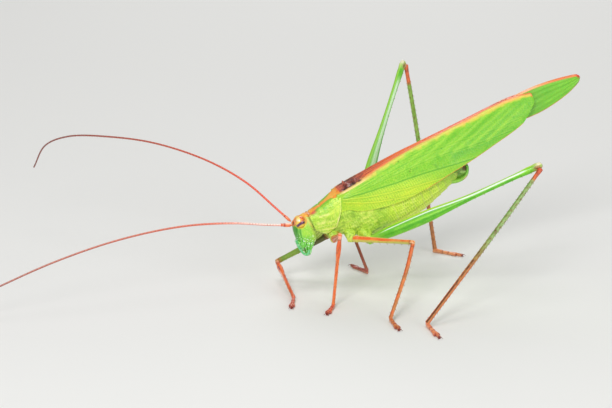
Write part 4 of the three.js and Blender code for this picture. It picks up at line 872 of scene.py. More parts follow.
def head():
    skin = Skin()
    t = np.concatenate([np.linspace(-1.2, -0.95, 22), np.linspace(-0.95, 2.2, 200)[1:]])
    w = np.arange(224) / 224 * 2 * math.pi
    T, W = np.meshgrid(t, w, indexing="ij")
    front, back, half, power = [table(HEAD, T)[..., k] for k in range(4)]
    cy, cs = super_ring(W, power)
    x = (front + back) / 2 - cs * (back - front) / 2
    y = cy * half
    P = np.stack([x, y, -T], -1)
    n = facing(P)
    Z = P[..., 2]
    ay = np.abs(y)
    side = np.where(y < 0, -1.0, 1.0)
    q = eye_metric(np.stack([x, ay, Z], -1), 1)
    e = np.linalg.norm(q, axis=-1)
    rise = 0.03 * bell(e, 1.18, 0.12) - 0.05 * step(1.1, 0.98, e)
    s = np.minimum(*[np.linalg.norm(P - c, axis=-1) for c in SOCKET])
    rise = rise + 0.1 * bell(s, 0.33, 0.075) - 0.1 * step(0.27, 0.2, s)
    rise = rise + 0.17 * bell(y, 0, 0.15) * bell(Z, 0.46, 0.26) * step(-0.8, -1.2, x) - 0.03 * bell(y, 0, 0.05) * bell(Z, 0.5, 0.3) * step(-0.8, -1.2, x)
    rise = rise + 0.03 * bell(np.linalg.norm(P - V(-1.9, 0, -0.25), axis=-1), 0, 0.12)
    below = near(x, Z, [[-1.2, -0.62], [-1.16, -1.1], [-1.02, -1.6], [-0.9, -2.1]])
    cheek = near(x, Z, [[-0.72, -0.55], [-0.2, -0.8], [0.15, -1.25], [0.2, -2.0]])
    temple = near(x, Z, [[-0.45, 0.55], [-0.1, 0.1], [0.2, -0.4]])
    lateral = step(0.35, 0.6, ay)
    rise = rise - 0.055 * lateral * np.exp(-(below / 0.055) ** 2) + 0.02 * lateral * np.exp(-((below - 0.13) / 0.08) ** 2)
    rise = rise - 0.03 * lateral * np.exp(-(cheek / 0.06) ** 2) - 0.02 * lateral * np.exp(-(temple / 0.06) ** 2)
    rise = rise - 0.05 * bell(Z, -1.98, 0.05) * step(-0.7, -1.1, x) + 0.03 * bell(Z, -1.86, 0.07) * step(-0.7, -1.1, x)
    rise = rise + 0.04 * bell(x, back + 0 * x - 0.03, 0.06)
    rise = rise + 0.02 * fbm(P, (0.3, 0.3, 0.55), 101) + 0.012 * fbm(P, 0.16, 103)
    # specks on the lower face and cheeks: small bumps here, painted near-white below as painted highlights (glints)
    sp = np.maximum(specks(P, 0.2, 107, -0.35) * step(-1.2, -1.8, Z + 0.2 * x), specks(P, 0.26, 127, -0.3) * step(-1.5, -1.95, Z + 0.1 * x))
    rise = rise + 0.02 * sp
    P = P + n * rise[..., None]
    grain = fbm(P, (0.22, 0.22, 0.6), 111)
    C = mix(rgb(146, 214, 54), rgb(190, 234, 78), 0.5 + 0.6 * grain)
    C = mix(C, rgb(206, 226, 116), 0.85 * step(0.0, 0.45, x) * step(-1.6, -0.6, Z))
    C = mix(C, rgb(198, 218, 110), 0.6 * step(-0.45, -0.1, Z) * step(-0.9, -0.4, x))
    face = step(-1.0, -1.45, x + 0.1 * Z) * step(-0.1, -0.5, Z)
    C = mix(C, mix(rgb(54, 138, 34), rgb(104, 186, 66), 0.5 + 0.7 * grain), face)
    C = mix(C, rgb(40, 140, 44), 0.55 * lateral * np.exp(-(below / 0.06) ** 2) + 0.4 * face * bell(x, -1.55, 0.06) * lateral)
    C = mix(C, rgb(170, 236, 120), 0.5 * lateral * np.exp(-((below - 0.14) / 0.07) ** 2))
    C = mix(C, rgb(110, 196, 60), 0.3 * lateral * np.exp(-(cheek / 0.07) ** 2))
    C = mix(C, rgb(92, 194, 50), 0.5 * step(-1.1, -1.7, Z) * step(0.5, -0.4, x))
    dots = specks(P, 0.13, 137, -0.1) * lateral * step(1.3, 1.6, e)
    C = mix(C, rgb(88, 176, 46), 0.5 * dots)
    C = mix(C, rgb(232, 248, 150), 0.5 * specks(P, 0.16, 141, 0.0) * lateral * step(1.3, 1.6, e))
    # painted highlights: the specks in near-white
    C = mix(C, rgb(236, 255, 240), 0.95 * sp)
    C = mix(C, rgb(234, 252, 236), 0.9 * np.exp(-(np.linalg.norm(np.stack([x - 0.3, ay - 0.95, Z + 1.45], -1), axis=-1) / 0.12) ** 2))
    C = mix(C, rgb(224, 240, 190), 0.4 * bell(x, back - 0.05, 0.12) * step(0.4, -0.4, Z))
    # crown: yellow and orange, redder beside the eye
    crown = step(0.2, 0.5, Z + 0.25 * step(-0.2, 0.5, x)) * step(0.95, 0.6, ay - 0.15 * (Z > 0.7))
    patch = fbm(P, (0.4, 0.25, 0.3), 121)
    C = mix(C, mix(rgb(250, 196, 56), rgb(244, 138, 44), clamp(0.5 + 0.8 * patch)), crown)
    C = mix(C, rgb(252, 222, 110), 0.8 * crown * bell(x, -0.85, 0.22) * bell(ay, 0.35, 0.25))
    C = mix(C, rgb(238, 100, 48), 0.7 * crown * bell(x, 0.05, 0.3) * step(0.1, 0.5, Z))
    C = mix(C, rgb(244, 220, 110), 0.7 * bell(temple, 0.0, 0.14) * lateral)
    C = mix(C, rgb(240, 118, 52), 0.85 * bell(e, 1.2, 0.12) * step(-0.2, 0.5, q[..., 2] + 0.5 * q[..., 0]))
    C = mix(C, rgb(236, 214, 60), 0.7 * bell(e, 1.12, 0.1) * step(0.1, -0.4, q[..., 2]))
    C = mix(C, rgb(222, 116, 60), 0.75 * step(-1.35, -1.7, x) * step(-0.35, -0.1, Z))
    C = mix(C, rgb(170, 90, 40), 0.8 * step(1.06, 0.98, e))
    C = mix(C, rgb(226, 120, 84), 0.9 * bell(s, 0.33, 0.07))
    C = mix(C, rgb(84, 28, 30), 0.9 * step(0.26, 0.2, s))
    C = mix(C, rgb(250, 216, 150), 0.7 * bell(y, 0, 0.13) * bell(Z, 0.5, 0.24) * step(-1.2, -1.5, x))
    C = mix(C, rgb(252, 244, 200), 0.9 * bell(np.linalg.norm(P - V(-1.95, 0, -0.25), axis=-1), 0, 0.11))
    C = mix(C, rgb(90, 120, 50), 0.8 * step(2.08, 2.18, T))
    skin.loft(headed(P), C)
    # neck skin between the head and the saddle
    neck = [[0.3, 0, -0.3], [1.3, 0, -1.1]]

    def soft(T, W):
        fold = 1 + 0.05 * np.sin(T * 26)
        return 0.86 * fold, 1.0 * fold
    skin.limb(headed(V(*neck[0])) * V(1, 1, 1) + (V(*neck) - V(*neck[0])), V(0, 0, 1), 26, soft,
              lambda T, W, P: mix(mix(rgb(136, 158, 62), rgb(168, 190, 84), 0.5 + 0.5 * np.sin(T * 26)), rgb(214, 130, 50), 0.8 * step(0.5, 0.9, np.sin(W))), around=40)
    return skin.make("head_skin", FACE, "head", "head")


def eyes(name, side):
    skin = Skin()

    def paint(q, P):
        a, b = q[..., 0], q[..., 2]                       # back, up
        band = -0.22 + 0.34 * a                           # the dark band slants up towards the back
        C = mix(rgb(250, 190, 44), rgb(246, 214, 88), 0.5 + 0.5 * noise(P, 0.12, 131))
        C = mix(C, rgb(252, 222, 96), step(0.15, 0.5, b) * step(0.25, -0.2, a))
        C = mix(C, rgb(244, 140, 48), 0.85 * step(0.1, 0.5, a + 0.3 * b) * step(band, band + 0.3, b))
        C = mix(C, rgb(232, 82, 46), 0.85 * step(0.35, 0.75, a) * step(0.15, 0.5, b))
        C = mix(C, rgb(238, 122, 60), 0.8 * step(-0.55, -0.9, a) * step(-0.1, 0.3, b))
        # painted highlight: a white patch on the upper front of the eye
        C = mix(C, rgb(255, 244, 214), 0.92 * np.exp(-((a + 0.36) / 0.4) ** 2 - ((b - 0.4) / 0.27) ** 2))
        C = mix(C, rgb(214, 70, 50), 0.7 * step(-0.1, 0.5, noise(P, 0.2, 135)) * step(0.25, 0.55, b) * step(-0.2, 0.2, a))
        dark = np.exp(-((b - band + 0.3 * a * a) / (0.25 - 0.05 * a)) ** 4) * step(0.96, 0.8, a)
        C = mix(C, mix(rgb(92, 24, 92), rgb(52, 14, 70), 0.5 + 0.5 * noise(P, 0.14, 133)), 0.96 * dark)
        C = mix(C, rgb(168, 48, 110), 0.6 * np.exp(-((b - band - 0.25) / 0.1) ** 2) * step(-0.2, 0.3, a))
        C = mix(C, rgb(240, 150, 40), 0.6 * step(-0.6, -0.9, b))
        return C
    skin.blob(V(EYE["x"], side * EYE["y"], EYE["z"]), V(EYE["rx"], EYE["ry"], EYE["rz"]) * 0.99, paint, turn=eye_axes(side), fine=(90, 110), warp=headed,
              swell=lambda q: 0.006 * np.cos(q[..., 0] * 60) * np.cos(q[..., 2] * 60))
    return skin.make(name, GLOSS, "eye", "eye_left" if side < 0 else "eye_right")


def mouth():
    skin = Skin()
    grain = lambda P: fbm(P, (0.16, 0.16, 0.3), 141)

    def green(a=rgb(84, 196, 66), b=rgb(138, 224, 104), white=1.0, seed=147, tip=None):
        def paint(q, P):
            C = mix(a, b, clamp(0.5 + 0.7 * grain(P)))
            # painted highlights: near-white specks as glints
            C = mix(C, rgb(216, 250, 222), 0.95 * white * specks(P, 0.15, seed, -0.15))
            if tip is not None:
                C = mix(C, tip, 0.9 * step(-0.55, -0.95, q[..., 2]))
            return C
        return paint

    down = unit(V(0.58, 0, -0.81))                        # along the front of the mouth
    out = unit(V(-0.81, 0, -0.58))
    plate = np.stack([V(0, 1, 0), out, -down])
    core = [[-2.02, -1.44, 0.54, 0.9, 2.3], [-2.45, -1.16, 0.42, 0.84, 2.3], [-2.9, -0.88, 0.2, 0.7, 2.2], [-3.2, -0.68, 0.02, 0.54, 2.2], [-3.42, -0.54, -0.14, 0.36, 2.1],
            [-3.5, -0.46, -0.24, 0.16, 2.0]]
    t = np.linspace(2.02, 3.5, 120)
    w = np.arange(200) / 200 * 2 * math.pi
    T, W = np.meshgrid(t, w, indexing="ij")
    rows = [[-r[0]] + r[1:] for r in core]
    front, back, half, power = [table(rows, T)[..., k] for k in range(4)]
    cy, cs = super_ring(W, power)
    P = np.stack([(front + back) / 2 - cs * (back - front) / 2, cy * half, -T], -1)
    n = facing(P)
    x, Z, lateral = P[..., 0], P[..., 2], step(0.2, 0.45, np.abs(P[..., 1]))
    seams = np.minimum(np.minimum(near(x, Z, [[-1.16, -2.0], [-0.86, -2.6], [-0.6, -3.1], [-0.5, -3.5]]), near(x, Z, [[-0.5, -2.0], [-0.46, -2.5], [-0.36, -3.0], [-0.34, -3.5]])),
                       near(x, Z, [[0.06, -2.0], [-0.02, -2.5], [-0.12, -3.0], [-0.24, -3.4]]))
    rise = -0.09 * lateral * np.exp(-(seams / 0.05) ** 2) + 0.05 * lateral * np.exp(-((seams - 0.17) / 0.09) ** 2) + 0.025 * fbm(P, 0.16, 144)
    # small bumps, painted near-white below as painted highlights (glints)
    dots = np.maximum(specks(P, 0.2, 147, -0.6), specks(P, 0.25, 149, -0.4))
    P = P + n * (rise + 0.02 * dots)[..., None]
    C = mix(rgb(84, 190, 56), rgb(150, 226, 92), clamp(0.5 + 0.7 * grain(P)))
    C = mix(C, rgb(50, 130, 40), 0.6 * lateral * np.exp(-(seams / 0.05) ** 2))
    C = mix(C, rgb(70, 36, 26), 0.8 * np.exp(-((x + 0.66) / 0.1) ** 2 - ((Z + 2.95) / 0.2) ** 2) * lateral)
    # painted highlights: the bumps in near-white
    C = mix(C, rgb(236, 255, 240), 0.95 * dots)
    C = mix(C, rgb(90, 50, 30), 0.7 * step(-3.36, -3.48, Z))
    skin.loft(headed(P), C)
    # clypeus, labrum
    skin.blob(V(-1.24, 0, -2.16), V(0.62, 0.16, 0.3), green(rgb(110, 206, 84), rgb(160, 232, 130)), turn=plate, power=2.6, warp=headed, fine=(40, 60))
    skin.blob(V(-0.93, 0, -2.7), V(0.56, 0.17, 0.42), green(rgb(98, 204, 90), rgb(150, 232, 140), tip=rgb(190, 170, 110)), turn=plate, power=2.4, warp=headed,
              fine=(50, 70), swell=lambda q: -0.12 * bell(q[..., 0], 0, 0.12) * step(-0.7, -1.0, q[..., 2]))
    for side in (-1, 1):                                  # biting edge of the mandible and the lobe behind it
        lean = np.stack([V(0, side, 0), unit(V(-0.9, 0, -0.4)), unit(V(-0.34, side * 0.26, 0.9))])
        skin.blob(V(-0.78, side * 0.56, -2.4), V(0.24, 0.3, 0.46), green(rgb(92, 200, 60), rgb(150, 226, 92), tip=rgb(90, 40, 26)), turn=lean, power=2.3, warp=headed, fine=(50, 60))
        skin.blob(V(-0.24, side * 0.56, -2.5), V(0.2, 0.2, 0.48), green(rgb(104, 200, 70), rgb(160, 230, 110), seed=151), turn=lean, power=2.3, warp=headed, fine=(44, 54))
    for k in range(46):                                   # short bristles on the lip
        a = (k * 0.381966) % 1 * 2 - 1
        b = (k * 0.7548777) % 1
        base = V(-0.98, a * 0.45, -2.62 - b * 0.36) + out * (0.15 - 0.06 * a * a)
        skin.spine(headed(base), (headed(base + out * 0.6 + down * 0.8) - headed(base)), 0.13, 0.011, rgb(200, 220, 170), rgb(160, 150, 110))
    return skin.make("mouthparts_skin", FACE, "mouthparts", "mouthparts")


def segmented(skin, path, cuts, radii, paint, up=V(0, 1, 0), rows=12, around=22, warp=same, swell=0.16, gap=0.012):
    """A jointed limb: one rounded segment between each pair of cuts, thickest past its middle."""
    curve = Curve(path)
    for k, (a, b) in enumerate(zip(cuts[:-1], cuts[1:])):
        t = np.linspace(a + gap, b - gap, 6)
        sub = curve.at(t)
        r0, r1 = radii[k], radii[k + 1]

        def shape(T, W, r0=r0, r1=r1):
            r = (r0 + (r1 - r0) * T) * (1 + swell * (T - 0.35)) * (1 - 0.22 * bell(T, 0, 0.1) - 0.12 * bell(T, 1, 0.06))
            return r, r
        skin.limb(sub, up, rows, shape, lambda T, W, P, k=k: paint(k, T, W, P), around=around, cap0=r0 * 0.5, cap1=r1 * 0.6, warp=warp)


def palps(name, side):
    skin = Skin()
    path = [[-0.2, 0.7 * side, -3.02], [-0.32, 0.76 * side, -3.4], [-0.66, 0.74 * side, -3.5], [-1.04, 0.62 * side, -3.08], [-1.4, 0.46 * side, -2.44], [-1.56, 0.34 * side, -1.9]]

    def paint(k, T, W, P):
        C = mix(rgb(92, 210, 112), rgb(136, 236, 156), clamp(0.5 + 0.6 * fbm(P, 0.2, 161)))
        C = mix(C, rgb(206, 255, 220), 0.75 * bell(T, 0.98, 0.1) + 0.5 * bell(T, 0.0, 0.06))
        C = mix(C, rgb(214, 250, 214), 0.8 * step(0.82, 0.98, T) * (k == 4))
        return mix(C, rgb(40, 150, 80), 0.4 * bell(np.sin(W), -1, 0.4))
    segmented(skin, path, [0, 0.16, 0.3, 0.56, 0.79, 1.0], [0.16, 0.135, 0.115, 0.105, 0.105, 0.135], paint, warp=headed, rows=16, around=28)
    short = [[0.02, 0.34 * side, -3.0], [-0.06, 0.42 * side, -3.36], [-0.28, 0.42 * side, -3.56], [-0.56, 0.36 * side, -3.5]]
    segmented(skin, short, [0, 0.36, 0.68, 1.0], [0.14, 0.12, 0.11, 0.13], lambda k, T, W, P: mix(rgb(110, 204, 110), rgb(200, 240, 180), 0.3 + 0.7 * bell(T, 1, 0.2)),
              warp=headed, rows=12, around=20)
    curve = Curve(path)
    for k in range(60):
        t = 0.2 + 0.78 * ((k * 0.618034) % 1)
        a = k * 2.39996
        g = curve.tangent(np.array([t]))[0]
        s = unit(np.cross(g, [0, 1, 0]))
        d = s * math.cos(a) + np.cross(g, s) * math.sin(a)
        base = curve.at(np.array([t]))[0] + d * 0.13
        skin.spine(headed(base), headed(base + d + g * 0.8) - headed(base), 0.1, 0.009, rgb(200, 236, 200))
    return skin.make(name, PALP, "palp", "palp_left" if side < 0 else "palp_right")


# ================================================================= antennae
ANTENNA = {
    "left": [[-5.3, -0.42, 7.62], [-8, -0.6, 7.92], [-12.2, -0.8, 8.5], [-18, -1.1, 8.68], [-25, -1.5, 7.85], [-32, -1.85, 6.1], [-38.2, -2.2, 3.93], [-44, -2.8, 1.75], [-48.6, -3.6, 0.75]],
    "right": [[-5.2, 0.5, 7.72], [-6.7, 1.75, 9.1], [-9.4, 4.2, 11.5], [-13, 7.6, 13.35], [-17.9, 12.6, 14.4], [-22.4, 17.6, 14.2], [-26.6, 22.6, 13.2], [-28.9, 25.6, 11.4], [-30, 27.4, 8.4]]}


def antenna(name, which):
    skin = Skin()
    curve = Curve(ANTENNA[which])
    total = curve.length
    first, second = 0.98 / total, 1.32 / total

    def scape(T, W):
        r = (0.21 if which == "left" else 0.15) * (1 + 0.15 * np.sin(T * math.pi)) * (1 - 0.25 * bell(T, 0, 0.12))
        return r, r * 0.95
    # the scape is red-orange, with a painted highlight in white-pink along its top, strong on the left antenna and
    # faint on the right
    skin.limb(curve.at(np.linspace(0.004, first, 8)), V(0, 0, 1), 20, scape,
              lambda T, W, P: mix(mix(mix(rgb(226, 84, 50), rgb(246, 140, 84), clamp(0.5 + 0.8 * fbm(P, 0.25, 171))), rgb(255, 226, 208), (0.85 if which == "left" else 0.15) * step(0.2, 0.8, np.sin(W))), rgb(170, 40, 36), 0.7 * bell(T, 1, 0.12)), around=32, cap0=0.12, cap1=0.16)
    skin.limb(curve.at(np.linspace(first, second, 6)), V(0, 0, 1), 12, lambda T, W: ((0.17 if which == "left" else 0.135) + 0 * T, (0.17 if which == "left" else 0.135) + 0 * T),
              lambda T, W, P: mix(rgb(244, 176, 130), rgb(226, 92, 56), T), around=28, cap0=0.08, cap1=0.09)
    mm = np.arange(second * total, total, 0.055)
    ring = 0.34 + 0.3 * clamp((mm - 6) / 30)
    phase = np.cumsum(0.055 / ring) % 1.0
    t = (mm - mm[0]) / (total - mm[0])
    sub = Curve(curve.at(np.linspace(second, 1, 240)), fine=6)

    def shape(T, W):
        r = np.interp(T, [0, 0.05, 0.3, 0.7, 1], [0.12, 0.118, 0.11, 0.1, 0.085])
        ph = np.interp(T, t, phase)
        return r * (1 + 0.05 * bell(ph, 0.8, 0.2) - 0.13 * bell(ph, 0.0, 0.09)), r * (1 + 0.05 * bell(ph, 0.8, 0.2) - 0.13 * bell(ph, 0.0, 0.09))

    def paint(T, W, P):
        ph = np.interp(T, t, phase)
        red = table([[0, *rgb(240, 88, 62)], [0.12, *rgb(232, 84, 56)], [0.3, *rgb(206, 84, 62)], [0.55, *rgb(176, 86, 72)], [0.8, *rgb(150, 84, 76)], [1, *rgb(132, 82, 78)]], T)
        if which == "left":
            # painted highlight: white-pink along the top of the left antenna near its base, and a paler pink along the
            # top further out
            red = mix(red, rgb(255, 236, 228), 0.92 * step(0.24, 0.06, T) * step(-0.7, 0.1, np.sin(W)))
            red = mix(red, rgb(222, 172, 156), 0.5 * step(0.14, 0.24, T) * step(-0.1, 0.7, np.sin(W)))
        C = mix(red, rgb(250, 190, 150), 0.35 * bell(ph, 0.82, 0.12) * (1 - 0.5 * T))
        return mix(C, rgb(110, 36, 28), 0.5 * bell(ph, 0.0, 0.12))
    skin.limb(sub, V(0, 0, 1), len(t), shape, paint, around=12, cap1=0.1, steps=t)
    for k in range(420):
        s = 0.02 + 0.97 * ((k * 0.618034) % 1) * 1.0
        a = k * 2.39996
        g = curve.tangent(np.array([s]))[0]
        u = unit(np.cross(g, [0, 0, 1]))
        d = u * math.cos(a) + np.cross(g, u) * math.sin(a)
        skin.spine(curve.at(np.array([s]))[0] + d * (0.108 - 0.03 * s), d + g * 1.3, 0.11, 0.008, rgb(214, 130, 100), rgb(180, 110, 90))
    return skin.make(name, HORN, "antenna", f"antenna_{which}_base", *[f"antenna_{which}_{k}" for k in range(1, 5)])


# ================================================================= legs
LEGS = {  # base, knee, ankle, toe, bow of the shin, arch of the thigh
    "fore_left": ([-0.69, -1.10, 5.81], [-1.62, -6.92, 8.10], [-2.47, -7.40, 0.5], [-3.85, -9.7], 0.0, 0.0),
    "mid_left": ([1.09, -1.50, 5.86], [6.65, -7.20, 6.66], [2.31, -13.32, 0.5], [2.35, -16.45], 0.2, 0.0),
    "hind_left": ([3.2, -2.05, 5.66], [20.60, -9.12, 14.66], [5.65, -15.87, 0.5], [5.75, -19.85], 0.12, -0.2),
    "fore_right": ([-0.75, 1.10, 5.62], [-6.22, 2.92, 2.32], [-6.14, -4.15, 0.5], [-7.05, -6.7], 0.0, 0.0),
    "mid_right": ([1.09, 1.50, 5.86], [2.60, 9.10, 7.62], [4.34, 2.95, 0.5], [3.3, 5.9], 0.1, 0.0),
    "hind_right": ([2.64, 2.24, 6.0], [11.66, 12.48, 21.88], [14.24, 8.35, 0.5], [16.95, 5.95], 0.12, 0.22)}
KNEE_RISE = {"fore": 0.05, "mid": 0.06, "hind": 0.5}
FEMUR = {"fore": [[0, .33, .36], [.1, .36, .4], [.5, .32, .36], [.85, .28, .3], [.95, .29, .32], [1, .27, .3]],
         "mid": [[0, .33, .36], [.1, .36, .41], [.5, .31, .35], [.85, .28, .3], [.95, .29, .33], [1, .27, .3]],
         "hind": [[0, .38, .4], [.06, .45, .56], [.15, .5, .69], [.26, .5, .72], [.35, .47, .7], [.42, .42, .62], [.5, .36, .49], [.6, .31, .38], [.72, .27, .33],
                  [.85, .28, .34], [.93, .3, .42], [.98, .3, .45], [1, .26, .38]]}
TIBIA = {"fore": [[0, .24, .25], [.07, .22, .24], [.16, .29, .33], [.26, .27, .3], [.36, .2, .21], [.95, .18, .19], [1, .21, .22]],
         "mid": [[0, .24, .25], [.08, .21, .22], [.3, .2, .22], [.95, .18, .19], [1, .21, .22]],
         "hind": [[0, .27, .29], [.02, .26, .28], [.06, .21, .22], [.3, .22, .24], [.95, .2, .22], [1, .23, .25]]}


def leg_parts(key):
    base, knee, ankle, toe, bow, arch = LEGS[key]
    kind = key.split("_")[0]
    base, knee, ankle = V(*base), V(*knee), V(*ankle)
    f, t = unit(knee - base), unit(ankle - knee)
    across = unit(np.cross(f, t))
    dorsal = unit(np.cross(across, f))
    if dorsal @ t > 0:
        dorsal = -dorsal
    end = knee + dorsal * KNEE_RISE[kind]
    thigh = [base, base + (end - base) * 0.45 + dorsal * arch, end] if arch else [base, end]
    tall = V(-0.31, 0.36, 0.88) if key == "hind_left" else dorsal        # the thigh's upper side
    outward = unit(np.cross(t, across))
    if outward @ f < 0:
        outward = -outward
    start = knee + t * 0.1
    shin = [start, start + (ankle - start) * 0.35 + outward * bow, ankle] if bow else [start, ankle]
    side = -1 if key.endswith("left") else 1
    # `out` is +1 where the cosine of the ring angle points away from the body's middle plane
    s_thigh, s_shin = np.cross(tall, f), np.cross(outward, t)
    reference = V(0, side, 0) if kind != "fore" or side < 0 else V(-1, 0.4, 0)
    return dict(kind=kind, side=side, base=base, knee=knee, ankle=ankle, toe=V(*toe, 0), f=f, t=t, dorsal=dorsal, tall=tall, outward=outward, thigh=thigh, shin=shin,
                end=end, out_thigh=1.0 if s_thigh @ reference > 0 else -1.0, out_shin=1.0 if s_shin @ reference > 0 else -1.0, key=key)


def coxae(skin):
    for key in LEGS:
        L = leg_parts(key)
        hind, side = L["kind"] == "hind", L["side"]
        big = 1.12 if hind else 1.0
        inner = L["base"] + V(-0.5 if hind else 0.1, -side, 0.75 if hind else 0.95)
        path = [inner, inner + (L["base"] - inner) * 0.6 + V(0, side * 0.08, 0), L["base"]]

        def shape(T, W):
            a = table([[0, 0.74, 0.66], [0.5, 0.68, 0.62], [0.85, 0.52, 0.5], [1, 0.4, 0.42]], T)
            k = 1 + 0.06 * np.sin(3 * W + 1) - 0.09 * bell(np.sin(W), 0.2, 0.12) * step(0.1, 0.4, T)
            return a[..., 0] * big * k, a[..., 1] * big * k

        def paint(T, W, P, key=key):
            C = mix(rgb(184, 220, 58), rgb(226, 240, 84), clamp(0.5 + 0.7 * fbm(P, 0.35, 181)))
            e1, e2 = cells(P, 0.2, 183)
            C = mix(C, rgb(246, 250, 140), 0.45 * (1 - step(0.05, 0.3, e2 - e1)))
            C = mix(C, rgb(140, 186, 44), 0.3 * step(0.2, 0.5, e2 - e1))
            C = mix(C, rgb(240, 244, 180), 0.45 * bell(T, 0.9, 0.1))
            if key.startswith("fore"):
                C = mix(C, rgb(214, 112, 44), 0.9 * bell(T, 0.62, 0.22) * step(-0.3, 0.5, np.cos(W + 0.6)))
            C = mix(C, rgb(140, 180, 56), 0.4 * bell(np.sin(W), 0.2, 0.1) * step(0.1, 0.4, T))
            C = mix(C, rgb(112, 158, 36), 0.45 * step(0.2, 0.6, noise(P, (0.4, 0.35, 0.22), 186)))
            return C * V(0.88, 0.95, 0.82)
        skin.limb(path, V(0, 0, 1), 34, shape, paint, around=48, cap0=0.2, cap1=0.3)
        # trochanter ring
        tone = {"fore": rgb(232, 118, 56), "mid": rgb(206, 226, 92), "hind": rgb(150, 214, 58)}[L["kind"]]
        # painted shade: the right fore trochanter in dull dark brown
        if key == "fore_right":
            tone = rgb(132, 92, 54)
        a = L["base"] - L["f"] * 0.14 * big
        skin.limb([a, a + L["f"] * 0.62 * big], L["dorsal"], 14, lambda T, W: (0.4 * big * (1 - 0.1 * bell(T, 1, 0.2)) + 0 * T, 0.42 * big * (1 - 0.1 * bell(T, 1, 0.2)) + 0 * T),
                  lambda T, W, P, tone=tone, key=key, at=L["base"]: mix(mix(tone, tone * 0.72, 0.7 * bell(T, 1, 0.12)), rgb(212, 230, 90),
                                                                       (0.9 if key == "fore_left" else 0.0) * step(-0.05, -0.3, (P - at) @ V(0.9, -0.2, 0.4))), around=32, cap0=0.12, cap1=0.1)


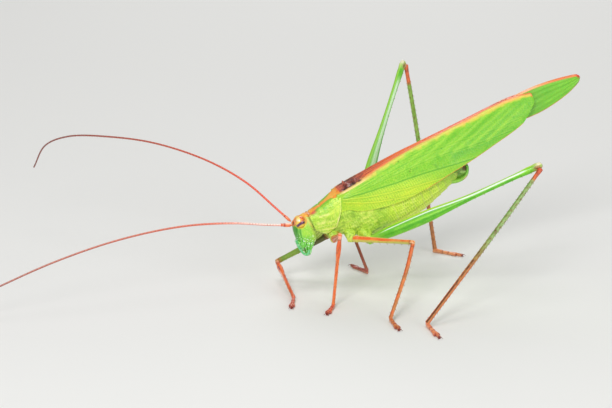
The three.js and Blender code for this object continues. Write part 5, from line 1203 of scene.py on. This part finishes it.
def femur(key):
    L = leg_parts(key)
    kind, skin = L["kind"], Skin()
    out = L["out_thigh"]
    hind = kind == "hind"

    def parts(W):
        return out * np.cos(W), np.sin(W)                  # outward, up

    def shape(T, W):
        r = table(FEMUR[kind], T)
        o, h = parts(W)
        k = 1 + 0 * T
        if hind:
            k = k - 0.05 * bell(h, 0.1, 0.14) * step(0.05, 0.2, T) * step(0.95, 0.8, T) + 0.03 * bell(h, 0.42, 0.1) + 0.03 * bell(h, -0.42, 0.1)
            k = k - 0.1 * bell(h, -1.0, 0.1) * step(0.3, 0.45, T)
            ribs = np.sin((T * 26 + 0.9 * np.abs(h)) * 2 * math.pi)
            k = k + 0.006 * ribs * step(0.5, 0.1, np.abs(h)) * step(0.6, 0.4, T)
        else:
            k = k - 0.07 * bell(h, 0.05, 0.16) - 0.08 * bell(h, -1.0, 0.12) + 0.02 * bell(h, 0.5, 0.15)
        k = k - 0.08 * bell(T, 0.955, 0.012) * (1 if hind else 0.6)
        slim = 1.0 if hind else np.where(T < 0.12, 1.0, 1.02 if key == "fore_right" else 0.86)
        return r[..., 0] * k * slim, r[..., 1] * k * slim

    def paint(T, W, P):
        o, h = parts(W)
        g = fbm(P, 0.5, 191)
        if hind:
            C = mix(rgb(84, 180, 22), rgb(124, 208, 38), clamp(0.5 + 0.7 * g))
            C = mix(C, rgb(160, 226, 56), 0.7 * bell(h, 0.1, 0.22) * step(0.1, 0.3, T))
            C = mix(C, rgb(56, 150, 26), 0.45 * bell(h, -0.3, 0.18) * step(0.75, 0.5, T))
            C = mix(C, rgb(206, 232, 66), 0.8 * step(0.72, 0.95, h) * step(0.03, 0.12, T))
            C = mix(C, rgb(168, 206, 80), 0.7 * step(0.12, 0.0, T))
            C = mix(C, rgb(196, 214, 110), 0.5 * step(-0.8, -0.97, h))
            if key == "hind_left":
                # a pale stripe along the outer face, whitened to near white as a painted highlight
                at = table([[0, 0.5], [0.16, 0.56], [0.35, 0.64], [0.5, 0.54], [0.63, 0.42], [0.8, 0.46], [0.93, 0.36]], T)[..., 0]
                wide = table([[0, 0.05], [0.3, 0.068], [0.6, 0.095], [0.9, 0.105], [1, 0.07]], T)[..., 0] / table(FEMUR["hind"], T)[..., 1]
                stripe = np.exp(-((h - at) / wide) ** 4) * step(0.0, 0.2, o) * step(0.03, 0.12, T) * step(0.94, 0.9, T)
                C = mix(C, mix(rgb(255, 255, 252), rgb(226, 246, 236), clamp(0.5 + 0.6 * g)), 0.97 * stripe)
                C = mix(C, rgb(190, 224, 60), 0.7 * step(at + wide * 1.2, at + wide * 2.0, h) * step(0.1, 0.3, T))
                C = mix(C, rgb(58, 150, 34), 0.4 * np.exp(-((h - at + wide * 2.2) / wide) ** 2) * step(0.0, 0.2, o) * step(0.1, 0.2, T) * step(0.9, 0.8, T))
            else:
                C = mix(C, rgb(84, 168, 60), 0.4)
                C = mix(C, rgb(224, 242, 220), 0.9 * np.exp(-((h - 0.25) / 0.5) ** 4) * step(0.08, 0.2, T) * step(0.93, 0.85, T))
            knee = step(0.945, 0.975, T)
            C = mix(C, rgb(186, 206, 120), 0.8 * knee)
            C = mix(C, rgb(240, 226, 200), 0.8 * step(0.975, 0.995, T) * step(0.0, 0.5, h))
            C = mix(C, rgb(120, 60, 30), 0.9 * np.exp(-((T - 0.978) / 0.012) ** 2 - ((h + 0.05) / 0.35) ** 2) * step(0.1, 0.5, np.abs(o)))
            C = mix(C, rgb(168, 96, 50), 0.7 * step(0.93, 0.99, T) * step(-0.4, -0.8, h))
            return C
        if key == "mid_left":
            C = mix(rgb(232, 92, 40), rgb(244, 132, 60), clamp(0.5 + 0.8 * g))
            C = mix(C, rgb(250, 190, 130), 0.9 * step(0.3, 0.62, h))
            C = mix(C, rgb(206, 216, 92), 0.85 * step(-0.45, -0.8, h))
            C = mix(C, rgb(240, 226, 160), 0.6 * step(0.16, 0.02, T) * step(-0.2, 0.5, h))
            C = mix(C, rgb(176, 190, 100), 0.45 * step(0.5, 0.8, T) * step(0.2, -0.4, h))
        elif key == "fore_right":
            C = mix(rgb(104, 142, 44), rgb(134, 166, 60), clamp(0.5 + 0.8 * g))
            C = mix(C, rgb(214, 122, 60), 0.9 * step(0.3, 0.6, h))
            C = mix(C, rgb(222, 90, 44), 0.6 * step(0.86, 1.0, T))
            # painted shade: the half of this thigh nearest the body darkened to dull brown
            C = mix(C, rgb(96, 84, 46), 0.75 * step(0.5, 0.3, T))
        elif key == "fore_left":
            C = mix(rgb(228, 92, 44), rgb(244, 134, 74), clamp(0.5 + 0.8 * g))
            C = mix(C, rgb(206, 180, 80), 0.4 * step(0.2, 0.0, T))
            # painted highlight: white-pink along the upper outer face of this thigh
            C = mix(C, rgb(248, 206, 190), 0.7 * bell(h, 0.35, 0.22) * step(0.0, 0.3, o))
        else:
            C = mix(rgb(150, 84, 70), rgb(176, 110, 80), clamp(0.5 + 0.8 * g))
            C = mix(C, rgb(150, 160, 76), 0.6 * step(0.6, 0.2, T))
        C = mix(C, rgb(250, 206, 160), 0.6 * bell(T, 0.985, 0.02) * step(-0.3, 0.3, h))
        return mix(C, rgb(150, 60, 30), 0.6 * bell(T, 0.955, 0.01))
    length = float(np.linalg.norm(L["end"] - L["base"]))
    base = L["base"] + L["f"] * 0.2
    thigh = [base] + list(L["thigh"][1:])
    skin.limb(thigh, L["tall"], 150 if hind else 84, shape, paint, around=72 if hind else 44, cap0=0.1, cap1=0.26 if hind else 0.2)
    curve = Curve(thigh)
    s = np.cross(L["dorsal"], L["f"])
    for row in (-1, 1):                                    # two rows of short thorns under the thigh
        for k in range(9 if hind else 6):
            t = (0.5 if hind else 0.35) + (0.44 if hind else 0.58) * k / (8.0 if hind else 5.0)
            r = table(FEMUR[kind], np.array([t]))[0]
            at = curve.at(np.array([t]))[0] - L["dorsal"] * r[1] * 0.86 + s * row * r[0] * 0.45
            skin.spine(at, -L["dorsal"] * 0.8 + L["f"] * 0.9 + s * row * 0.25, 0.18, 0.035, rgb(190, 170, 90), rgb(90, 40, 24))
    for sgn in (-1, 1):                                    # knee lobes
        at = L["end"] - L["f"] * (0.26 if hind else 0.12) - L["dorsal"] * (0.24 if hind else 0.14) + s * sgn * (0.2 if hind else 0.19)
        turn = np.stack([s, L["dorsal"], L["f"]])
        tone = rgb(190, 150, 90) if hind else rgb(240, 180, 130)
        skin.blob(at, V(0.09, 0.22, 0.3) if hind else V(0.08, 0.14, 0.2), lambda q, P, tone=tone: mix(tone, rgb(120, 60, 34), 0.7 * step(0.3, 0.9, -q[..., 1])), turn=turn, fine=(20, 26))
    rng = 0.618034
    for k in range(120 if hind else 60):                   # fine hairs
        t = 0.08 + 0.86 * ((k * rng) % 1)
        a = k * 2.39996
        r = table(FEMUR[kind], np.array([t]))[0] * (1 if hind else 0.86)
        d = s * math.cos(a) * r[0] + L["dorsal"] * math.sin(a) * r[1]
        skin.spine(curve.at(np.array([t]))[0] + d * 0.97, unit(d) + L["f"] * 1.2, 0.12, 0.008, rgb(214, 220, 150))
    return skin.make(f"femur_{key}_skin", LEG, "hind_femur" if hind else "femur", f"femur_{key}")


def tibia(key):
    L = leg_parts(key)
    kind, skin = L["kind"], Skin()
    out = L["out_shin"]
    curve = Curve(L["shin"])
    total = curve.length
    spots = [(k * 0.7548777 % 1, k * 2.39996, 0.06 + 0.05 * (k * 0.37 % 1)) for k in range(150)]

    def shape(T, W):
        r = table(TIBIA[kind], T)
        k = 1 - 0.12 * np.cos(4 * W) * step(0.03, 0.1, T) * (0.7 if kind == "hind" else 0.45)
        k = k * (1 - 0.1 * bell(T, 0.03 if kind == "hind" else 0.05, 0.012))
        if kind == "fore":                                 # the swelling that carries the ear, with its slit
            slit = np.exp(-((T - 0.2) / 0.06) ** 4 - ((np.sin(W) - 0.25) / 0.2) ** 2)
            k = k - 0.16 * slit + 0.05 * np.exp(-((T - 0.2) / 0.075) ** 4) * bell(np.sin(W), 0.62, 0.16)
        return r[..., 0] * k, r[..., 1] * k

    def paint(T, W, P):
        o, h = out * np.cos(W), np.sin(W)                  # h is +1 on the side away from the thigh
        g = clamp(0.5 + 0.8 * fbm(P, 0.5, 201))
        if kind == "hind":
            if key == "hind_left":
                C = mix(rgb(100, 140, 56), rgb(136, 170, 90), g)
                C = mix(C, rgb(186, 122, 58), 0.85 * step(0.42, 0.66, T))
                C = mix(C, rgb(232, 112, 44), 0.85 * step(0.55, 0.8, T) * step(0.5, -0.3, h))
                streak = np.exp(-((h - 0.08) / 0.42) ** 4) * step(0.52, 0.86, T + 0.3 * noise(P, (0.4, 0.4, 0.3), 203))
                C = mix(C, rgb(74, 30, 20), 0.88 * streak)
                C = mix(C, rgb(228, 110, 52), 0.7 * step(0.5, 0.7, T) * step(0.62, 0.85, h))
                C = mix(C, rgb(186, 210, 140), 0.5 * step(-0.1, 0.7, h) * step(0.6, 0.4, T))
                C = mix(C, rgb(230, 92, 42), 0.92 * step(0.085, 0.055, T))
                C = mix(C, rgb(196, 70, 34), 0.8 * bell(T, 0.0, 0.02))
                C = mix(C, rgb(90, 34, 20), 0.8 * bell(T, 0.065, 0.012) * step(0.2, -0.4, h))
            else:
                C = mix(rgb(124, 168, 58), rgb(152, 190, 84), g)
                C = mix(C, rgb(230, 96, 56), 0.92 * step(0.115, 0.085, T))
                C = mix(C, rgb(206, 110, 60), 0.85 * step(0.45, 0.68, T))
                C = mix(C, rgb(176, 196, 120), 0.5 * step(0.0, 0.8, o) * step(0.15, 0.3, T) * step(0.6, 0.4, T))
        elif kind == "fore":
            C = mix(rgb(222, 84, 34), rgb(238, 118, 52), g)
            C = mix(C, rgb(246, 196, 176), 0.7 * step(0.09, 0.02, T))
            if key == "fore_right":
                # painted highlight: whitish pink over the upper part of this shin
                C = mix(C, rgb(240, 196, 196), 0.85 * bell(T, 0.38, 0.26) * step(-0.1, 0.5, h))
                C = mix(C, rgb(196, 92, 60), 0.4 * step(0.6, 0.9, T))
            ear = np.exp(-((T - 0.2) / 0.055) ** 4 - ((h - 0.25) / 0.16) ** 2)
            C = mix(C, rgb(92, 44, 110) if key == "fore_right" else rgb(140, 50, 40), 0.9 * ear)
            C = mix(C, rgb(250, 190, 140), 0.4 * bell(h, 0.7, 0.2) * step(0.1, 0.3, T))
        else:
            C = mix(rgb(206, 84, 30), rgb(232, 120, 50), g)
            if key == "mid_right":
                C = mix(rgb(150, 70, 60), rgb(176, 96, 74), g)
            else:
                C = mix(C, rgb(244, 176, 116), 0.45 * step(0.4, 0.95, h) * step(0.03, 0.1, T))
                C = mix(C, rgb(160, 60, 30), 0.6 * step(0.0, -0.8, h))
                C = mix(C, rgb(164, 128, 60), 0.4 * step(0.15, 0.5, T) * step(-0.2, 0.4, noise(P, (0.5, 0.5, 0.9), 205)))
                C = mix(C, rgb(236, 214, 170), 0.7 * step(0.03, 0.0, T))
        C = mix(C, rgb(130, 44, 26), 0.55 * bell(T, 0.03 if kind == "hind" else 0.05, 0.008))
        m = 0
        for a, b, c in spots if kind == "hind" else spots[:50]:
            dt = (T - a) * total
            dw = (np.angle(np.exp(1j * (W - b)))) * 0.23
            m = np.maximum(m, np.exp(-((dt / (c * 1.6)) ** 2 + (dw / c) ** 2)))
        C = mix(C, rgb(112, 54, 30), (0.55 if kind == "hind" else 0.35) * m)
        if key == "hind_left":
            for a in (0.408, 0.62):
                C = mix(C, rgb(96, 44, 22), 0.85 * np.exp(-(((T - a) * total / 0.12) ** 2 + ((h - 0.2) / 0.6) ** 2)))
        return C
    skin.limb(curve, L["outward"], int(60 + total * 9), shape, paint, around=36, cap0=0.14, cap1=0.14)
    s = np.cross(L["outward"], L["t"])
    n = int(total / (0.62 if kind == "hind" else 0.85))
    rows = (((0.8, 1), (-0.8, 1), (0.8, -1), (-0.8, -1)) if kind == "hind" else ((0.8, -1), (-0.8, -1), (0.75, 1)))
    for j, (a, b) in enumerate(rows):
        for k in range(n):
            t = 0.07 + 0.9 * (k + 0.4 + 0.23 * j) / n
            if t > 0.985 or (kind == "fore" and t < 0.34):
                continue
            r = table(TIBIA[kind], np.array([t]))[0]
            d = unit(s * a * 0.7 + L["outward"] * b * 0.75)
            at = curve.at(np.array([t]))[0] + d * r[0] * 0.92
            skin.spine(at, d * 0.8 + L["t"] * 0.95, 0.21 if b < 0 else 0.26, 0.034, rgb(214, 150, 90), rgb(70, 26, 18))
    for a in (-1, 1):                                      # spurs at the ankle
        for b in (-1, 1):
            d = unit(s * a * 0.7 + L["outward"] * b * 0.6)
            skin.spine(curve.at(np.array([0.985]))[0] + d * 0.15, d * 0.45 + L["t"] * 0.95 * (1 if L["t"][2] < 0 else 1), 0.3 if kind == "hind" else 0.22, 0.045, rgb(224, 140, 80), rgb(70, 26, 18))
    for k in range(int(total * 12)):
        t = 0.04 + 0.93 * ((k * 0.618034) % 1)
        a = k * 2.39996
        r = table(TIBIA[kind], np.array([t]))[0]
        d = unit(s * math.cos(a) + L["outward"] * math.sin(a))
        skin.spine(curve.at(np.array([t]))[0] + d * r[0] * 0.94, d + L["t"] * 1.1, 0.13, 0.008, rgb(226, 196, 150))
    return skin.make(f"tibia_{key}_skin", LEG, "hind_tibia" if kind == "hind" else "tibia", f"tibia_{key}")


def tarsus(key):
    L = leg_parts(key)
    kind, skin = L["kind"], Skin()
    a, b = V(L["ankle"][0], L["ankle"][1], 0), L["toe"]
    d = unit(b - a)
    s = V(-d[1], d[0], 0)
    length = float(np.linalg.norm(b - a))
    wide = 1.05 if kind == "hind" else 1.0
    base_tone = {"fore_left": (rgb(206, 70, 44), rgb(232, 116, 70)), "fore_right": (rgb(196, 82, 56), rgb(226, 120, 84)), "mid_left": (rgb(196, 88, 44), rgb(226, 146, 76)),
                 "mid_right": (rgb(150, 60, 50), rgb(180, 84, 66)), "hind_left": (rgb(226, 110, 70), rgb(242, 156, 116)), "hind_right": (rgb(222, 124, 76), rgb(244, 170, 116))}[key]
    dark = rgb(110, 30, 26)

    def segment(t0, t1, w0, w1, h0, h1, lobes=0.0, deep=0.05):
        t = np.linspace(0, 1, 26)
        w = np.arange(32) / 32 * 2 * math.pi
        T, W = np.meshgrid(t, w, indexing="ij")
        end = np.sqrt(clamp(1 - ((T - 0.5) / 0.5) ** 8)) * 0.88 + 0.12
        half = (w0 + (w1 - w0) * T) * end * wide
        high = (h0 + (h1 - h0) * T) * (1 - 0.1 * bell(T, 0.02, 0.08) - 0.1 * bell(T, 0.98, 0.06))
        cy, cz = super_ring(W, 2.5 + 0 * W)
        X = t0 + (t1 - t0) * T
        if lobes:
            X = X + lobes * np.abs(cy) ** 2 * step(0.6, 1.0, T) / length
            half = half * (1 + 0.1 * step(0.5, 0.9, T))
        up = high * (cz * 0.5 + 0.5)
        up = up + 0.03 * bell(cz, -1.0, 0.2) * np.sin(T * 40) * step(0.1, 0.2, T)
        up = np.maximum(up, 0.004)
        groove = 1 - 0.08 * bell(cz, -0.25, 0.14)
        P = a + d * (X * length)[..., None] + s * (cy * half * groove)[..., None] + V(0, 0, 1) * up[..., None]
        C = mix(base_tone[0], base_tone[1], clamp(0.5 + 0.8 * fbm(P, 0.3, 211)))
        C = mix(C, dark, 0.6 * bell(T, 1.0, 0.09) + 0.3 * step(0.7, 1.0, X))
        C = mix(C, rgb(240, 190, 150), 0.45 * step(0.4, -0.3, up / high * 2 - 1) * step(0.98, 0.8, T) + 0.0 * T)
        skin.loft(P, C)
    ankle = L["ankle"]
    rise = ankle[2]
    segment(-0.07, 0.31, 0.17, 0.21, 0.56, 0.42)
    segment(0.29, 0.50, 0.18, 0.24, 0.38, 0.38)
    segment(0.48, 0.74, 0.22, 0.36, 0.34, 0.34, lobes=0.22)
    segment(0.66, 0.99, 0.12, 0.16, 0.40, 0.32)
    skin.blob(V(a[0], a[1], rise * 0.92), V(0.21, 0.21, 0.2), lambda q, P: mix(base_tone[0], base_tone[1], 0.5 + 0 * q[..., 0]), fine=(20, 26))
    for side in (-1, 1):
        base = a + d * (length * 0.965) + s * side * 0.08 + V(0, 0, 0.24)
        skin.spine(base, d * 0.9 + s * side * 0.55 + V(0, 0, 0.1), 0.42, 0.06, rgb(176, 64, 40), rgb(50, 20, 16), bend=V(0, 0, -0.2))
        for k in range(7):
            t = 0.02 + 0.62 * k / 6
            skin.spine(a + d * (t * length) + s * side * 0.2 + V(0, 0, 0.12), s * side + d * 0.8 - V(0, 0, 0.4), 0.12, 0.012, rgb(220, 170, 130))
    for k in range(40):
        t = 0.02 + 0.94 * ((k * 0.618034) % 1)
        g = (k * 0.7548777) % 1 * 2 - 1
        skin.spine(a + d * (t * length) + s * g * 0.15 + V(0, 0, 0.36 - 0.1 * abs(g)), d + V(0, 0, 0.9) + s * g * 0.6, 0.12, 0.008, rgb(230, 180, 140))
    return skin.make(f"tarsus_{key}_skin", LEG, "tarsus", f"tarsus_{key}")


# ================================================================= build
trunk_skin = Skin()
trunk(trunk_skin)
coxae(trunk_skin)
trunk_skin.make("trunk_skin", SOFT, "trunk", "thorax", "abdomen", "tail_plate", "cercus_left", "cercus_right", *[f"coxa_{key}" for key in LEGS])
pronotum()
tegmen("tegmen_left_skin", -1)
tegmen("tegmen_right_skin", 1)
hindwing("hindwing_left_skin", -1)
hindwing("hindwing_right_skin", 1)
head()
mouth()
eyes("eye_left_lens", -1)
eyes("eye_right_lens", 1)
palps("palp_left_skin", -1)
palps("palp_right_skin", 1)
antenna("antenna_left_skin", "left")
antenna("antenna_right_skin", "right")
for key in LEGS:
    femur(key)
    tibia(key)
    tarsus(key)

# ---------------------------------------------------------------- floor, light, camera
bpy.context.view_layer.update()

floor_mesh = bpy.data.meshes.new("floor")
floor_mesh.from_pydata([(-2, -2, -0.00001), (2, -2, -0.00001), (2, 2, -0.00001), (-2, 2, -0.00001)], [], [(0, 1, 2, 3)])
floor = bpy.data.objects.new("floor", floor_mesh)
bpy.context.scene.collection.objects.link(floor)
pale = bpy.data.materials.new("floor_paper")
pale.use_nodes = True
pale.node_tree.nodes["Principled BSDF"].inputs["Base Color"].default_value = (0.82, 0.82, 0.8, 1)
pale.node_tree.nodes["Principled BSDF"].inputs["Roughness"].default_value = 0.85
pale.node_tree.nodes["Principled BSDF"].inputs["Specular IOR Level"].default_value = 0.1
floor_mesh.materials.append(pale)


def lamp(name, place, aim, size, power, tint=(1, 1, 1)):
    data = bpy.data.lights.new(name, "AREA")
    data.shape, data.size, data.energy, data.color = "DISK", size, power, tint
    ob = bpy.data.objects.new(name, data)
    ob.location = place
    away = unit(V(*place) - V(*aim))
    right = unit(np.cross([0, 0, 1], away))
    up = np.cross(away, right)
    import mathutils
    ob.matrix_world = mathutils.Matrix([[right[0], up[0], away[0], place[0]], [right[1], up[1], away[1], place[1]], [right[2], up[2], away[2], place[2]], [0, 0, 0, 1]])
    bpy.context.scene.collection.objects.link(ob)
    return ob


lamp("key", (-0.13, -0.25, 0.2), (0.008, -0.004, 0.012), 0.12, 0.56)
lamp("top", (-0.02, -0.03, 0.34), (0.0, 0, 0.012), 0.18, 0.3)
lamp("fill", (0.18, -0.28, 0.09), (0.012, -0.004, 0.012), 0.2, 0.3)
lamp("back", (0.1, 0.25, 0.2), (0.01, 0, 0.015), 0.2, 0.28)

world = bpy.data.worlds.new("room")
world.use_nodes = True
world.node_tree.nodes["Background"].inputs["Color"].default_value = (1, 1, 1, 1)
world.node_tree.nodes["Background"].inputs["Strength"].default_value = 0.28
bpy.context.scene.world = world
bpy.context.scene.view_settings.view_transform = "Standard"
bpy.context.scene.view_settings.look = "None"

camera_data = bpy.data.cameras.new("camera")
camera_data.lens, camera_data.sensor_width = 137.647, 36
camera_data.clip_start, camera_data.clip_end = 0.01, 10
camera = bpy.data.objects.new("camera", camera_data)
r = V(0.9669, -0.2552, 0)
c = V(-0.24403, -0.92464, 0.29237)
r, c = unit(r - c * (r @ c)), unit(c)
u = np.cross(c, r)
import mathutils
place = V(-56.986, -244.566, 85.917) * 0.001
camera.matrix_world = mathutils.Matrix([[r[0], u[0], c[0], place[0]], [r[1], u[1], c[1], place[1]], [r[2], u[2], c[2], place[2]], [0, 0, 0, 1]])
bpy.context.scene.collection.objects.link(camera)
bpy.context.scene.camera = camera
